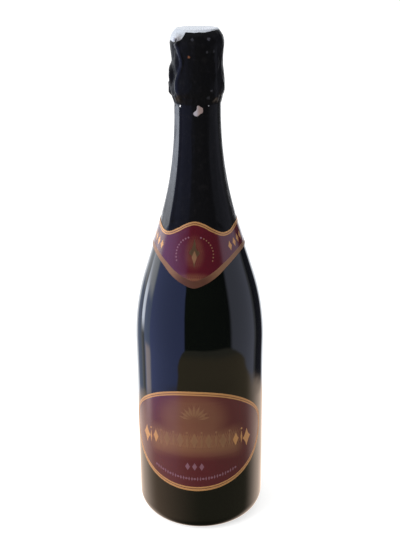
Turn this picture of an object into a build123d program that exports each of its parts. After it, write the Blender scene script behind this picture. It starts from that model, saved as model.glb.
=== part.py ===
from build123d import *
import os
from math import atan2, cos, hypot, pi, radians, sin, tan

# A sealed bottle of sparkling wine: the glass, what it holds, and its closure.
# Millimetres. +Z is up, the origin is the middle of the base, and the labels face -Y.
# A place round the bottle is given as an azimuth: 0 is the front, 90 is the +X side.

# --- Glass ---
body_radius = 42.0
heel_radius = 11.0
shoulder_z = 125.9          # top of the straight barrel
shoulder_radius = 150.2     # convex arc from the barrel to the cone
cone_angle = 17.8           # half angle of the straight cone
flare_radius = 232.0        # concave arc from the cone to the neck
neck_radius = 13.87
wall = 3.7
punt_height = 28.0
punt_crown_radius = 10.0    # flat top of the punt, before rounding
punt_crown_round = 12.0
bearing_width = 2.5         # flat ring that the bottle stands on
base_thickness = 7.0        # glass over the punt
base_floor = 9.0            # glass over the bearing ring
inner_heel_round = 8.0

# --- Neck finish ---
neck_length = 30.2          # straight neck, from the end of the flare to the mouth
bore_radius = 8.75
bore_length = 26.5
lip_step = 0.48             # of the lip, out from the neck
lip_height = 6.5
lip_slope = 0.6             # rise of the lip's underside
groove_depth = 0.67         # of the groove between lip and ring, in from the neck
ring_step = 1.13            # of the glass ring, out from the neck
ring_drop = 17.0            # from the mouth to the underside of the glass ring
ring_height = 7.0
ring_slope = 1.2            # fall of the ring's upper side into the groove
ring_foot_round = 0.2
ring_edge_round = 0.7
ring_crest_round = 1.6
groove_round = 0.6
groove_top_round = 0.3
lip_foot_round = 0.5
mouth_round = 1.4
bore_mouth_round = 0.8

# --- Wine ---
ullage = 64.5               # from the mouth to the wine
wine_gap = 0.05

# --- Cork ---
cork_clearance = 0.07
cork_depth = 24.0
cork_disc_height = 6.0
cork_seat_gap = 0.05        # under the head, over the glass lip
cork_head_inset = 0.05      # of the head's side, in from the glass lip
cork_head_height = 15.75
cork_under_inset = 1.1      # of the head's underside, in from its side
cork_under_rise = 3.0
cork_shoulder = 3.0
cork_waist_round = 0.2
cork_under_round = 0.8
cork_side_round = 2.0
cork_foot_round = 0.8

# --- Wire hood ---
leg_wire = 0.6              # one strand; a leg is two strands twisted
belt_wire = 0.9
wire_gap = 0.05             # between wire and glass, wire and cork, wire and wire
leg_count = 4
first_leg_azimuth = -48.0
ring_angle = 30.0           # where the top ring lies on the cork's rounded shoulder
leg_ease = 20.0             # bend of a leg where it meets the glass ring
leg_touch_share = 0.6       # how far up the glass ring a leg meets it
leg_bend_share = 0.95       # of the first straight run, that the bend at the cork may take
belt_tuck = 0.63            # of the belt, in from the legs
key_azimuth = -93.0
key_eye_radius = 4.6
key_stem_length = 4.4
plate_thickness = 0.3
plate_crown_rise = 2.3
plate_crown_radius = 8.5
plate_step_radius = 10.6
plate_rim_drop = 0.6

# --- Foil ---
foil_thickness = 0.15
foil_gap = 0.05             # between foil and glass
skirt_rise = 27.2           # of the skirt's lower edge, over the start of the cone
strip_height = 6.2
hood_headroom = 0.65        # over the plate
top_disc_radius = 12.2
top_hole_radius = 9.0
leg_ridge_clearance = 0.1
key_pad_clearance = 0.3

# Slack of the foil over the piece it wraps, and height from that piece's own level, going up
hood_slack = [
    (0.4, 0.0),             # neck, at the tear strip
    (1.0, -3.7),            # neck, under the glass ring
    (0.4, -1.1),            # belt
    (1.3, 1.5),             # glass ring
    (1.15, 5.8),            # glass ring, upper side
    (1.2, 1.0),             # lip
    (0.8, 0.3),             # mouth
    (1.2, 5.5),             # cork, over the mouth
    (1.55, -5.3),           # cork, under its top
    (0.8, -1.3),            # cork, rounded edge
    (-0.6, 1.3),            # cork, over its top
    (0.1, 0.0),             # top disc
]

# --- Tear tab ---
tab_gap = 0.15
tab_thickness = 0.25
tab_height = 5.0
tab_root_azimuth = 13.0
tab_sweep = 22.0
tab_round = 2.0

# --- Labels ---
label_azimuth = -5.5        # the bottle stands turned a little to the left
label_thickness = 0.15
label_gap = 0.05
front_label_width = 107.0   # round the barrel
front_label_height = 73.5
front_label_rise = 1.5      # over the middle of the barrel
outline_steps = 10          # points along each half of the oval
collar_clearance = 0.1      # over the foil skirt beneath it
collar_slit = 0.8
collar_back_low = 18.7
collar_back_high = 35.2

# Edges of the collar label, as azimuth from its middle and height over the start of the cone
collar_top = [(0, 39.2), (14, 37.6), (27, 34.4), (41, 31.6), (54, 31.8), (68, 33.8)]
collar_bottom = [(0, -0.2), (12, 2.4), (24, 6.6), (38, 11.7), (54, 15.8), (68, 17.8)]

# --- Worked out from the sizes above ---
half_turn = 180
shoulder_centre = (body_radius - shoulder_radius, shoulder_z)
cone_low = (
    shoulder_centre[0] + shoulder_radius * cos(radians(cone_angle)),
    shoulder_centre[1] + shoulder_radius * sin(radians(cone_angle)),
)
flare_drop = flare_radius * sin(radians(cone_angle))
cone_high_radius = neck_radius + flare_radius * (1 - cos(radians(cone_angle)))
cone_length_z = (cone_low[0] - cone_high_radius) * cos(radians(cone_angle)) / sin(radians(cone_angle))
neck_z = cone_low[1] + cone_length_z + flare_drop
mouth_z = neck_z + neck_length
lip_radius = neck_radius + lip_step
groove_radius = neck_radius - groove_depth
ring_radius = neck_radius + ring_step
ring_low_z = mouth_z - ring_drop
flare_centre = (neck_radius + flare_radius, neck_z)
bearing_outer = body_radius - heel_radius
bearing_inner = bearing_outer - bearing_width
inner_radius = body_radius - wall
neck_bore_radius = neck_radius - wall
bore_end_z = mouth_z - bore_length
ring_top_z = ring_low_z + ring_height
lip_low_z = mouth_z - lip_height

cork_shank_radius = bore_radius - cork_clearance
cork_head_radius = lip_radius - cork_head_inset
cork_under_radius = cork_head_radius - cork_under_inset
cork_head_low_z = mouth_z + cork_seat_gap
cork_top_z = cork_head_low_z + cork_head_height
cork_end_z = mouth_z - cork_depth
disc_split_z = cork_end_z + cork_disc_height
cork_split_z = disc_split_z + cork_disc_height

leg_radius = leg_wire                       # two twisted strands fill a circle twice as wide
leg_line_radius = ring_radius + wire_gap + leg_radius
belt_line_radius = max(
    neck_radius + wire_gap + leg_wire + wire_gap + belt_wire / 2,
    leg_line_radius - belt_tuck,
)
belt_z = ring_low_z - wire_gap - leg_wire - wire_gap - belt_wire / 2 - wire_gap
eyelet_radius = belt_wire / 2 + wire_gap + leg_wire / 2
cork_corner = (cork_head_radius - cork_shoulder, cork_top_z - cork_shoulder)
leg_turn_radius = cork_shoulder + wire_gap + leg_radius
ring_line_radius = cork_corner[0] + leg_turn_radius * sin(radians(ring_angle))
ring_line_z = cork_corner[1] + leg_turn_radius * cos(radians(ring_angle))
leg_corner_angle = (ring_angle + 90) / 2
leg_corner_reach = leg_turn_radius / cos(radians((90 - ring_angle) / 2))
leg_corner = (
    cork_corner[0] + leg_corner_reach * sin(radians(leg_corner_angle)),
    cork_corner[1] + leg_corner_reach * cos(radians(leg_corner_angle)),
)
leg_over_ring_z = ring_low_z + leg_touch_share * ring_height
leg_slope = atan2(leg_line_radius - leg_corner[0], leg_corner[1] - leg_over_ring_z)
leg_turn = radians(90 - ring_angle) - leg_slope
leg_first_run = hypot(leg_corner[0] - ring_line_radius, ring_line_z - leg_corner[1])
leg_bend = min(leg_turn_radius - leg_wire / 2, leg_bend_share * leg_first_run / tan(leg_turn / 2))

key_stem_radius = belt_wire
key_line_radius = ring_radius + wire_gap + key_stem_radius
key_eye_line_radius = ring_radius + wire_gap + belt_wire / 2
key_stem_low_z = belt_z + key_stem_radius + wire_gap
key_eye_z = key_stem_low_z + key_stem_length + key_eye_radius

plate_rim_radius = ring_line_radius - leg_radius - wire_gap
plate_seat_z = cork_top_z + wire_gap
plate_crown_z = plate_seat_z + plate_crown_rise
plate_step_z = plate_seat_z + plate_rim_drop

hood_low_z = neck_z + strip_height
hood_top_z = plate_crown_z + hood_headroom
belt_reach = belt_line_radius + belt_wire / 2
hood_cut_depth = 4 * foil_thickness

# Outside of the foil hood between the wire legs, as radius and height
hood_wraps = [
    (neck_radius, hood_low_z),
    (neck_radius, ring_low_z),
    (belt_reach, ring_low_z),
    (ring_radius, ring_low_z),
    (ring_radius, ring_low_z),
    (lip_radius, lip_low_z),
    (lip_radius, mouth_z),
    (cork_head_radius, mouth_z),
    (cork_head_radius, cork_top_z),
    (cork_head_radius, cork_top_z),
    (cork_head_radius, cork_top_z),
    (top_disc_radius, hood_top_z),
]
hood_stations = []
for (wrapped_radius, level), (slack, rise) in zip(hood_wraps, hood_slack):
    hood_stations.append((wrapped_radius + slack, level + rise))

key_ridge_low_z = belt_z - key_stem_radius - key_pad_clearance
key_ridge_half_width = key_stem_radius + key_pad_clearance
key_ridge_length = key_eye_z - key_eye_radius - key_ridge_low_z

skirt_low_z = cone_low[1] + skirt_rise
front_label_z = (heel_radius + shoulder_z) / 2 + front_label_rise
collar_gap = foil_gap + foil_thickness + collar_clearance
collar_back_low_z = cone_low[1] + collar_back_low
collar_back_high_z = cone_low[1] + collar_back_high

# --- Shared shapes ---


def around(azimuth):
    """Unit direction from the axis towards an azimuth."""
    return (sin(radians(azimuth)), -cos(radians(azimuth)), 0)


def radial_plane(azimuth):
    """Upright half plane through the axis: local x is the radius, local y is the height."""
    return Plane(origin=(0, 0, 0), x_dir=around(azimuth), z_dir=around(azimuth - 90))


def facing_plane(azimuth, distance=0.0):
    """Upright plane seen square on from an azimuth: local y is the height."""
    out = around(azimuth)
    start = (out[0] * distance, out[1] * distance, 0)
    return Plane(origin=start, x_dir=around(azimuth + 90), z_dir=out)


def flank(offset, low_z=shoulder_z):
    """Draw the bottle's outside from the barrel to the neck, moved outwards by offset."""
    barrel_top = (body_radius + offset, shoulder_z)
    if low_z < shoulder_z:
        Line((body_radius + offset, low_z), barrel_top)
    lower = CenterArc(shoulder_centre, shoulder_radius + offset, 0, cone_angle)
    upper = CenterArc(flare_centre, flare_radius - offset, half_turn + cone_angle, -cone_angle)
    Line(lower @ 1, upper @ 0)


def skin(inner_offset, outer_offset):
    """Draw the section of a thin skin that follows the bottle from the barrel to the neck."""
    low_z = shoulder_z / 2
    flank(inner_offset, low_z)
    flank(outer_offset, low_z)
    Line((body_radius + inner_offset, low_z), (body_radius + outer_offset, low_z))
    Line((neck_radius + inner_offset, neck_z), (neck_radius + outer_offset, neck_z))


def inside(inset, *to_axis):
    """Draw half of the space in the glass, drawn in by inset, closed by the points above the neck."""
    reach = inner_radius - inset
    crown = punt_height + base_thickness + inset
    flank(-wall - inset, shoulder_z / 2)
    FilletPolyline(
        (reach, shoulder_z / 2),
        (reach, base_floor + inset),
        (punt_crown_radius, crown),
        (0, crown),
        radius=[inner_heel_round, punt_crown_round],
    )
    Polyline((neck_bore_radius - inset, neck_z), *to_axis, (0, crown))


# --- Glass bottle ---

finish_rounds = [
    ring_foot_round,
    ring_edge_round,
    ring_crest_round,
    groove_round,
    groove_top_round,
    lip_foot_round,
    mouth_round,
]

with BuildPart() as glass_bottle:
    with BuildSketch(Plane.XZ):
        with BuildLine():
            FilletPolyline(
                (0, punt_height),
                (punt_crown_radius, punt_height),
                (bearing_inner, 0),
                (bearing_outer, 0),
                radius=[punt_crown_round, bearing_width / 2],
            )
            CenterArc((bearing_outer, heel_radius), heel_radius, -90, 90)
            flank(0, heel_radius)
            FilletPolyline(
                (neck_radius, neck_z),
                (neck_radius, ring_low_z),
                (ring_radius, ring_low_z),
                (ring_radius, ring_top_z),
                (groove_radius, ring_top_z + ring_slope),
                (groove_radius, lip_low_z),
                (lip_radius, lip_low_z + lip_slope),
                (lip_radius, mouth_z),
                (0, mouth_z),
                radius=finish_rounds,
            )
            Line((0, mouth_z), (0, punt_height))
        make_face()
    revolve(axis=Axis.Z)
    with BuildSketch(Plane.XZ):
        with BuildLine():
            inside(0, (bore_radius, bore_end_z), (bore_radius, mouth_z), (0, mouth_z))
        make_face()
    revolve(axis=Axis.Z, mode=Mode.SUBTRACT)
    mouth_edge = glass_bottle.edges().filter_by(GeomType.CIRCLE).group_by(Axis.Z)[-1]
    fillet(mouth_edge.sort_by(SortBy.RADIUS)[0], radius=bore_mouth_round)
glass_bottle.part.label = "glass_bottle"

with BuildPart() as wine:
    with BuildSketch(Plane.XZ):
        with BuildLine():
            inside(wine_gap, (0, neck_z))
        make_face()
    revolve(axis=Axis.Z)
    split(bisect_by=Plane.XY.offset(mouth_z - ullage), keep=Keep.BOTTOM)
wine.part.label = "wine"

# --- Cork ---

with BuildPart() as cork_body:
    with BuildSketch(Plane.XZ):
        with BuildLine():
            FilletPolyline(
                (0, cork_split_z),
                (cork_shank_radius, cork_split_z),
                (cork_shank_radius, cork_head_low_z),
                (cork_under_radius, cork_head_low_z),
                (cork_head_radius, cork_head_low_z + cork_under_rise),
                (cork_head_radius, cork_top_z),
                (0, cork_top_z),
                radius=[0, cork_waist_round, cork_under_round, cork_side_round, cork_shoulder],
            )
            Line((0, cork_top_z), (0, cork_split_z))
        make_face()
    revolve(axis=Axis.Z)
cork_body.part.label = "cork_body"


def cork_disc(low_z):
    """A slice of natural cork glued under the cork's body."""
    with BuildPart() as disc:
        with BuildSketch(Plane.XY.offset(low_z)):
            Circle(cork_shank_radius)
        extrude(amount=cork_disc_height)
    return disc


cork_disc_upper = cork_disc(disc_split_z)
cork_disc_upper.part.label = "cork_disc_upper"
cork_disc_lower = cork_disc(cork_end_z)
disc_foot = cork_disc_lower.edges().group_by(Axis.Z)[0]
with cork_disc_lower:
    fillet(disc_foot, radius=cork_foot_round)
cork_disc_lower.part.label = "cork_disc_lower"

# --- Wire hood ---


def leg(radius, end_z):
    """One leg at azimuth 0, as a rod from the top ring over cork and glass ring down to end_z."""
    with BuildPart() as rod:
        with BuildLine(radial_plane(0)) as path:
            FilletPolyline(
                (ring_line_radius, ring_line_z),
                leg_corner,
                (leg_line_radius, leg_over_ring_z),
                (leg_line_radius, end_z),
                radius=[leg_bend, leg_ease],
            )
        route = path.wire()
        with BuildSketch(Plane(origin=route @ 0, x_dir=(1, 0, 0), z_dir=route % 0)):
            Circle(radius)
        sweep(path=route)
    return rod.part


with BuildPart() as muselet_cage:
    with BuildSketch(Plane.XZ):
        with Locations((ring_line_radius, ring_line_z)):
            Circle(leg_radius)
    revolve(axis=Axis.Z)
    with PolarLocations(0, leg_count, start_angle=first_leg_azimuth):
        add(leg(leg_radius, belt_z + leg_radius))
        with Locations(Plane(origin=(0, -belt_line_radius, belt_z), x_dir=(0, 1, 0), z_dir=(1, 0, 0))):
            Torus(eyelet_radius, leg_wire / 2)
muselet_cage.part.label = "muselet_cage"

with BuildPart() as muselet_belt:
    with Locations((0, 0, belt_z)):
        Torus(belt_line_radius, belt_wire / 2)
    with BuildSketch(facing_plane(key_azimuth, belt_line_radius)):
        with Locations((0, belt_z)):
            Circle(key_stem_radius)
    extrude(amount=key_line_radius - wire_gap - belt_line_radius)
muselet_belt.part.label = "muselet_belt"

with BuildPart() as muselet_key:
    stem_foot = facing_plane(key_azimuth, key_line_radius).from_local_coords((0, key_stem_low_z, 0))
    with BuildSketch(Plane(origin=stem_foot, z_dir=(0, 0, 1))):
        Circle(key_stem_radius)
    extrude(amount=key_stem_length)
    eye_plane = facing_plane(key_azimuth, key_eye_line_radius)
    eye_centre = eye_plane.from_local_coords((0, key_eye_z, 0))
    with Locations(Plane(origin=eye_centre, z_dir=eye_plane.z_dir)):
        Torus(key_eye_radius, belt_wire / 2)
muselet_key.part.label = "muselet_key"

with BuildPart() as muselet_plate:
    with BuildSketch(Plane.XZ):
        with BuildLine():
            Polyline(
                (0, plate_crown_z),
                (plate_crown_radius, plate_crown_z),
                (plate_step_radius, plate_step_z),
                (plate_rim_radius, plate_step_z),
                (plate_rim_radius, plate_seat_z),
                (plate_rim_radius - plate_thickness, plate_seat_z),
                (plate_rim_radius - plate_thickness, plate_step_z - plate_thickness),
                (plate_step_radius - plate_thickness, plate_step_z - plate_thickness),
                (plate_crown_radius - plate_thickness, plate_crown_z - plate_thickness),
                (0, plate_crown_z - plate_thickness),
                close=True,
            )
        make_face()
    revolve(axis=Axis.Z)
muselet_plate.part.label = "muselet_plate"

# --- Foil ---


def hood_form(grow):
    """The space over cork, wires and key that the foil wraps, made larger by grow."""
    top_z = hood_top_z - foil_thickness + grow
    low_z = hood_low_z - foil_thickness + grow
    inset = foil_thickness - grow
    outline = [(radius - inset, height) for radius, height in hood_stations]
    outline[0] = (outline[0][0], low_z)
    outline[-1] = (outline[-1][0], top_z)
    with BuildPart() as form:
        with BuildSketch(Plane.XZ):
            with BuildLine():
                Spline(outline)
                Polyline(outline[-1], (0, top_z), (0, low_z), outline[0])
            make_face()
        revolve(axis=Axis.Z)
        with PolarLocations(0, leg_count, start_angle=first_leg_azimuth):
            add(leg(leg_radius + leg_ridge_clearance + grow, belt_z))
            with Locations((0, -belt_line_radius, belt_z)):
                Sphere(eyelet_radius + leg_wire / 2 + leg_ridge_clearance + grow)
        with BuildSketch(facing_plane(key_azimuth)):
            with Locations((0, key_eye_z)):
                Circle(key_eye_radius + belt_wire / 2 + key_pad_clearance + grow)
        extrude(amount=key_eye_line_radius + belt_wire / 2 + key_pad_clearance + grow)
        with BuildSketch(facing_plane(key_azimuth)):
            with Locations((0, key_ridge_low_z + key_ridge_length / 2)):
                SlotOverall(
                    key_ridge_length + key_ridge_half_width + 2 * grow,
                    2 * (key_ridge_half_width + grow),
                    rotation=90,
                )
        extrude(amount=key_line_radius + key_stem_radius + leg_ridge_clearance + grow)
    return form.part


hood_outside = hood_form(foil_thickness)
hood_cavity = hood_form(0)

with BuildPart() as foil_hood:
    add(hood_outside)
    add(hood_cavity, mode=Mode.SUBTRACT)
    with Locations((0, 0, hood_top_z)):
        Cylinder(top_hole_radius, hood_cut_depth, mode=Mode.SUBTRACT)
foil_hood.part.label = "foil_hood"

with BuildPart() as foil_top_disc:
    with BuildSketch(Plane.XY.offset(hood_top_z)):
        Circle(top_disc_radius)
    extrude(amount=foil_thickness)
foil_top_disc.part.label = "foil_top_disc"

with BuildPart() as foil_tear_strip:
    with BuildSketch(Plane.XY.offset(neck_z)):
        Circle(neck_radius + foil_gap + foil_thickness)
        Circle(neck_radius + foil_gap, mode=Mode.SUBTRACT)
    extrude(amount=strip_height)
foil_tear_strip.part.label = "foil_tear_strip"

with BuildPart() as foil_skirt:
    with BuildSketch(Plane.XZ):
        with BuildLine():
            skin(foil_gap, foil_gap + foil_thickness)
        make_face()
    revolve(axis=Axis.Z)
    split(bisect_by=Plane.XY.offset(skirt_low_z), keep=Keep.TOP)
foil_skirt.part.label = "foil_skirt"

with BuildPart() as tear_tab:
    tab_inner = neck_radius + foil_gap + foil_thickness + tab_gap
    with BuildSketch(radial_plane(tab_root_azimuth - tab_sweep)):
        with Locations((tab_inner + tab_thickness / 2, neck_z + strip_height / 2)):
            Rectangle(tab_thickness, tab_height)
    revolve(axis=Axis.Z, revolution_arc=tab_sweep)
    free_corners = tear_tab.edges().filter_by(lambda edge: edge.length < 2 * tab_thickness)
    fillet(free_corners.sort_by(Axis.X)[:2], radius=tab_round)
tear_tab.part.label = "tear_tab"

# --- Labels ---

with BuildPart() as front_label:
    label_back = body_radius + label_gap
    label_face = label_back + label_thickness
    label_middle = label_back + label_thickness / 2
    with BuildSketch(facing_plane(label_azimuth)):
        with BuildLine():
            for rise in (1, -1):
                edge = []
                for step in range(outline_steps + 1):
                    turn = pi * step / outline_steps
                    along = front_label_width / 2 * cos(turn)
                    height = front_label_z + rise * front_label_height / 2 * sin(turn)
                    edge.append((label_middle * sin(along / label_middle), height))
                Spline(edge)
        make_face()
    extrude(amount=2 * body_radius)
    with BuildSketch():
        Circle(label_face)
    extrude(amount=shoulder_z, mode=Mode.INTERSECT)
    with BuildSketch():
        Circle(label_back)
    extrude(amount=shoulder_z, mode=Mode.SUBTRACT)
front_label.part.label = "front_label"


def flank_radius(height):
    """Outside radius of the glass on the cone and the flare."""
    if height <= cone_low[1]:
        rise = height - shoulder_z
        return shoulder_centre[0] + (shoulder_radius**2 - rise**2) ** 0.5
    if height >= neck_z - flare_drop:
        rise = neck_z - height
        return flare_centre[0] - (flare_radius**2 - rise**2) ** 0.5
    share = (height - cone_low[1]) / cone_length_z
    return cone_low[0] + share * (cone_high_radius - cone_low[0])


def collar_edge(stations):
    """Points of an edge of the collar label as seen from its front, from left to right."""
    side = []
    for azimuth, rise in stations:
        height = cone_low[1] + rise
        side.append((flank_radius(height) * sin(radians(azimuth)), height))
    return [(-x, height) for x, height in reversed(side[1:])] + side


collar_reach = body_radius

with BuildPart() as collar_outline:
    with BuildSketch(facing_plane(label_azimuth)):
        with BuildLine():
            top = [(-collar_reach, collar_back_high_z), *collar_edge(collar_top)]
            top.append((collar_reach, collar_back_high_z))
            bottom = [(-collar_reach, collar_back_low_z), *collar_edge(collar_bottom)]
            bottom.append((collar_reach, collar_back_low_z))
            Spline(top)
            Spline(bottom)
            Line(top[0], bottom[0])
            Line(top[-1], bottom[-1])
        make_face()
    extrude(amount=collar_reach)
    with BuildSketch(facing_plane(label_azimuth)):
        with Locations((0, (collar_back_low_z + collar_back_high_z) / 2)):
            Rectangle(2 * collar_reach, collar_back_high_z - collar_back_low_z)
    extrude(amount=-collar_reach)

with BuildPart() as collar_label:
    with BuildSketch(Plane.XZ):
        with BuildLine():
            skin(collar_gap, collar_gap + label_thickness)
        make_face()
    revolve(axis=Axis.Z)
    add(collar_outline.part, mode=Mode.INTERSECT)
    with BuildSketch(facing_plane(label_azimuth + half_turn)):
        with Locations((0, (collar_back_low_z + collar_back_high_z) / 2)):
            Rectangle(collar_slit, collar_back_high_z)
    extrude(amount=collar_reach, mode=Mode.SUBTRACT)
collar_label.part.label = "collar_label"

# --- Files ---

pieces = [
    glass_bottle,
    wine,
    cork_body,
    cork_disc_upper,
    cork_disc_lower,
    muselet_cage,
    muselet_belt,
    muselet_key,
    muselet_plate,
    foil_hood,
    foil_top_disc,
    foil_tear_strip,
    foil_skirt,
    tear_tab,
    collar_label,
    front_label,
]
os.makedirs("parts", exist_ok=True)
for piece in pieces:
    export_step(piece.part, f"parts/{piece.part.label}.step")
    print(piece.part.label, round(piece.part.volume, 1))
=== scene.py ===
# %% [markdown]
# # A champagne bottle, finished in Blender
# The CAD model says where every piece of the bottle is. This lesson gives those pieces
# their looks: dark glossy glass, crumpled black foil over a wire hood and a cork,
# and two varnished labels with gold printed edges.
# Everything is in metres, with +Z up and the labels facing -Y. Azimuths are degrees
# round the bottle from the front, growing towards +X.

from math import atan2, cos, degrees, hypot, pi, radians, sin

import bpy
from mathutils import Matrix, Vector, noise


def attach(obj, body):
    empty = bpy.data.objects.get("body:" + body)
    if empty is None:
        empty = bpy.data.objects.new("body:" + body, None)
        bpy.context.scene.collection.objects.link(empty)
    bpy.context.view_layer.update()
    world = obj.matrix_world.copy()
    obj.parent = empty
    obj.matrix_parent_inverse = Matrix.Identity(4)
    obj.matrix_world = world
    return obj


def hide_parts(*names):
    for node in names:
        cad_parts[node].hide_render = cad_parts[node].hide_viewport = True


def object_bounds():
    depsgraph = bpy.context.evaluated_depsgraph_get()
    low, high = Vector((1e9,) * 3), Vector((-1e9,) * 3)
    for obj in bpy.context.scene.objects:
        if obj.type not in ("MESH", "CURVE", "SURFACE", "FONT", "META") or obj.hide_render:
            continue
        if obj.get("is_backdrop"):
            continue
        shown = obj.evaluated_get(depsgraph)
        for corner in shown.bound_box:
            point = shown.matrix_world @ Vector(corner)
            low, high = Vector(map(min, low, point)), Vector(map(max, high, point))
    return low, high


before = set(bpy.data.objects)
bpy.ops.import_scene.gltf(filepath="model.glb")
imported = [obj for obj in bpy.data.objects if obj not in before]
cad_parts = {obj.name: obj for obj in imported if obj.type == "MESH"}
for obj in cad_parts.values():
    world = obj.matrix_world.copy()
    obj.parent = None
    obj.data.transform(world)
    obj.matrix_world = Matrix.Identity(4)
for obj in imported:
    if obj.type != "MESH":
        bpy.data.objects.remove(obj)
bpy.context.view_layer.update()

# %% [markdown]
# ## The bottle's outline
# Foil and labels lie on the glass, so all of them need its radius at a height. That could
# be measured on the CAD mesh, but a formula is smoother: a bottle's side is a straight
# barrel, a round shoulder, a straight cone and a hollow curve into the neck. Sizes are in
# millimetres, as a glassmaker gives them.

# %% Outline of the glass
mm = 0.001
body_radius = 42.0
heel_radius = 11.0
shoulder_z = 125.9
shoulder_arc = 150.2
cone_angle = radians(17.8)
flare_arc = 232.0
neck_radius = 13.87
wall = 3.7
ring_radius, lip_radius, groove_radius = 15.0, 14.35, 13.2

shoulder_r = body_radius - shoulder_arc
cone_low_r = shoulder_r + shoulder_arc * cos(cone_angle)
cone_low_z = shoulder_z + shoulder_arc * sin(cone_angle)
cone_high_r = neck_radius + flare_arc * (1 - cos(cone_angle))
cone_high_z = cone_low_z + (cone_low_r - cone_high_r) * cos(cone_angle) / sin(cone_angle)
neck_z = cone_high_z + flare_arc * sin(cone_angle)
mouth_z = neck_z + 30.2
ring_z = mouth_z - 17.0
lip_z = mouth_z - 6.5
cork_top_z = mouth_z + 15.8
belt_z = ring_z - 1.2
hood_low_z = neck_z + 6.2
hood_top_z = cork_top_z + 3.0


def glass_radius(height):
    """Radius of the glass in mm at a height in mm, from the heel to the neck."""
    if height < heel_radius:
        drop = heel_radius - max(height, 0.0)
        return body_radius - heel_radius + (heel_radius**2 - drop**2) ** 0.5
    if height <= shoulder_z:
        return body_radius
    if height <= cone_low_z:
        return shoulder_r + (shoulder_arc**2 - (height - shoulder_z) ** 2) ** 0.5
    if height <= cone_high_z:
        share = (height - cone_low_z) / (cone_high_z - cone_low_z)
        return cone_low_r + share * (cone_high_r - cone_low_r)
    if height <= neck_z:
        return neck_radius + flare_arc - (flare_arc**2 - (neck_z - height) ** 2) ** 0.5
    return neck_radius


def off_glass(height, out, gap=0.0):
    """Radius and height of a point gap mm straight off the glass, then out mm square off it."""
    slope = (glass_radius(height + 0.1) - glass_radius(height - 0.1)) / 0.2
    out /= hypot(1, slope)
    return glass_radius(height) + gap + out, height - slope * out


def at(azimuth, radius, height):
    """A point in metres from its azimuth in degrees and its radius and height in mm."""
    turned = radians(azimuth)
    return Vector((radius * sin(turned), -radius * cos(turned), height)) * mm


def polar(point):
    """Radius in mm, azimuth in degrees and height in mm of a point in metres."""
    x, y, z = point / mm
    return hypot(x, y), degrees(atan2(x, -y)), z


print("neck starts at", round(neck_z, 1), "mm, mouth at", round(mouth_z, 1), "mm")

# %% [markdown]
# ## Camera
# The photo looks down on the bottle by about 21 degrees from some 55 cm away. A camera
# could be set by eye, but then no edge meets the photo's. These numbers come from the
# size of the bottle's outline at its base and at its top.

# %% Camera
camera_data = bpy.data.cameras.new("camera")
camera_data.sensor_width = 36.0
camera_data.lens = 59.70
camera = bpy.data.objects.new("camera", camera_data)
bpy.context.scene.collection.objects.link(camera)
look_down, lean = radians(20.96), radians(-0.5175)
camera.matrix_world = (
    Matrix.Translation((0.00055, -0.5479, 0.37797))
    @ Matrix.Rotation(pi / 2 - look_down, 4, "X")
    @ Matrix.Rotation(lean, 4, "Z")
)
bpy.context.scene.camera = camera
bpy.context.scene.view_settings.view_transform = "Standard"
print("camera", [round(v, 3) for v in camera.matrix_world.translation])

# %% [markdown]
# ## Writing shaders as sums
# The finish of a piece, such as worn foil, mixes many values over its surface. Written out
# node by node that is long, and formulas are easier to read. `Signal` wraps one socket of a
# node, so that `1 - mask` or `height * 20` adds the Math nodes.

# %% Sums of shader values
class Signal:
    """The output socket of a node, for use in sums."""

    def __init__(self, finish, socket):
        self.finish, self.socket = finish, socket

    def other(self, name):
        """Another output of the same node."""
        return Signal(self.finish, self.socket.node.outputs[name])

    def maths(self, operation, *values):
        return self.finish.node("ShaderNodeMath", dict(enumerate(values)), operation=operation)

    def __add__(self, other):
        return self.maths("ADD", self, other)

    def __sub__(self, other):
        return self.maths("SUBTRACT", self, other)

    def __rsub__(self, other):
        return self.maths("SUBTRACT", other, self)

    def __mul__(self, other):
        return self.maths("MULTIPLY", self, other)

    __radd__ = __add__
    __rmul__ = __mul__


print("signals add, take away and multiply")

# %% [markdown]
# ## A tree to fill
# Each finish is a tree of nodes that ends in one shader. It could be wired by hand in the
# shader editor. Here `Finish` makes any node, its settings first and then the values or
# links of its sockets, and it names what this bottle's finishes share: soft masks, colour
# mixes, noise and relief. So a finish is a short list of what feeds each socket.

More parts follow.
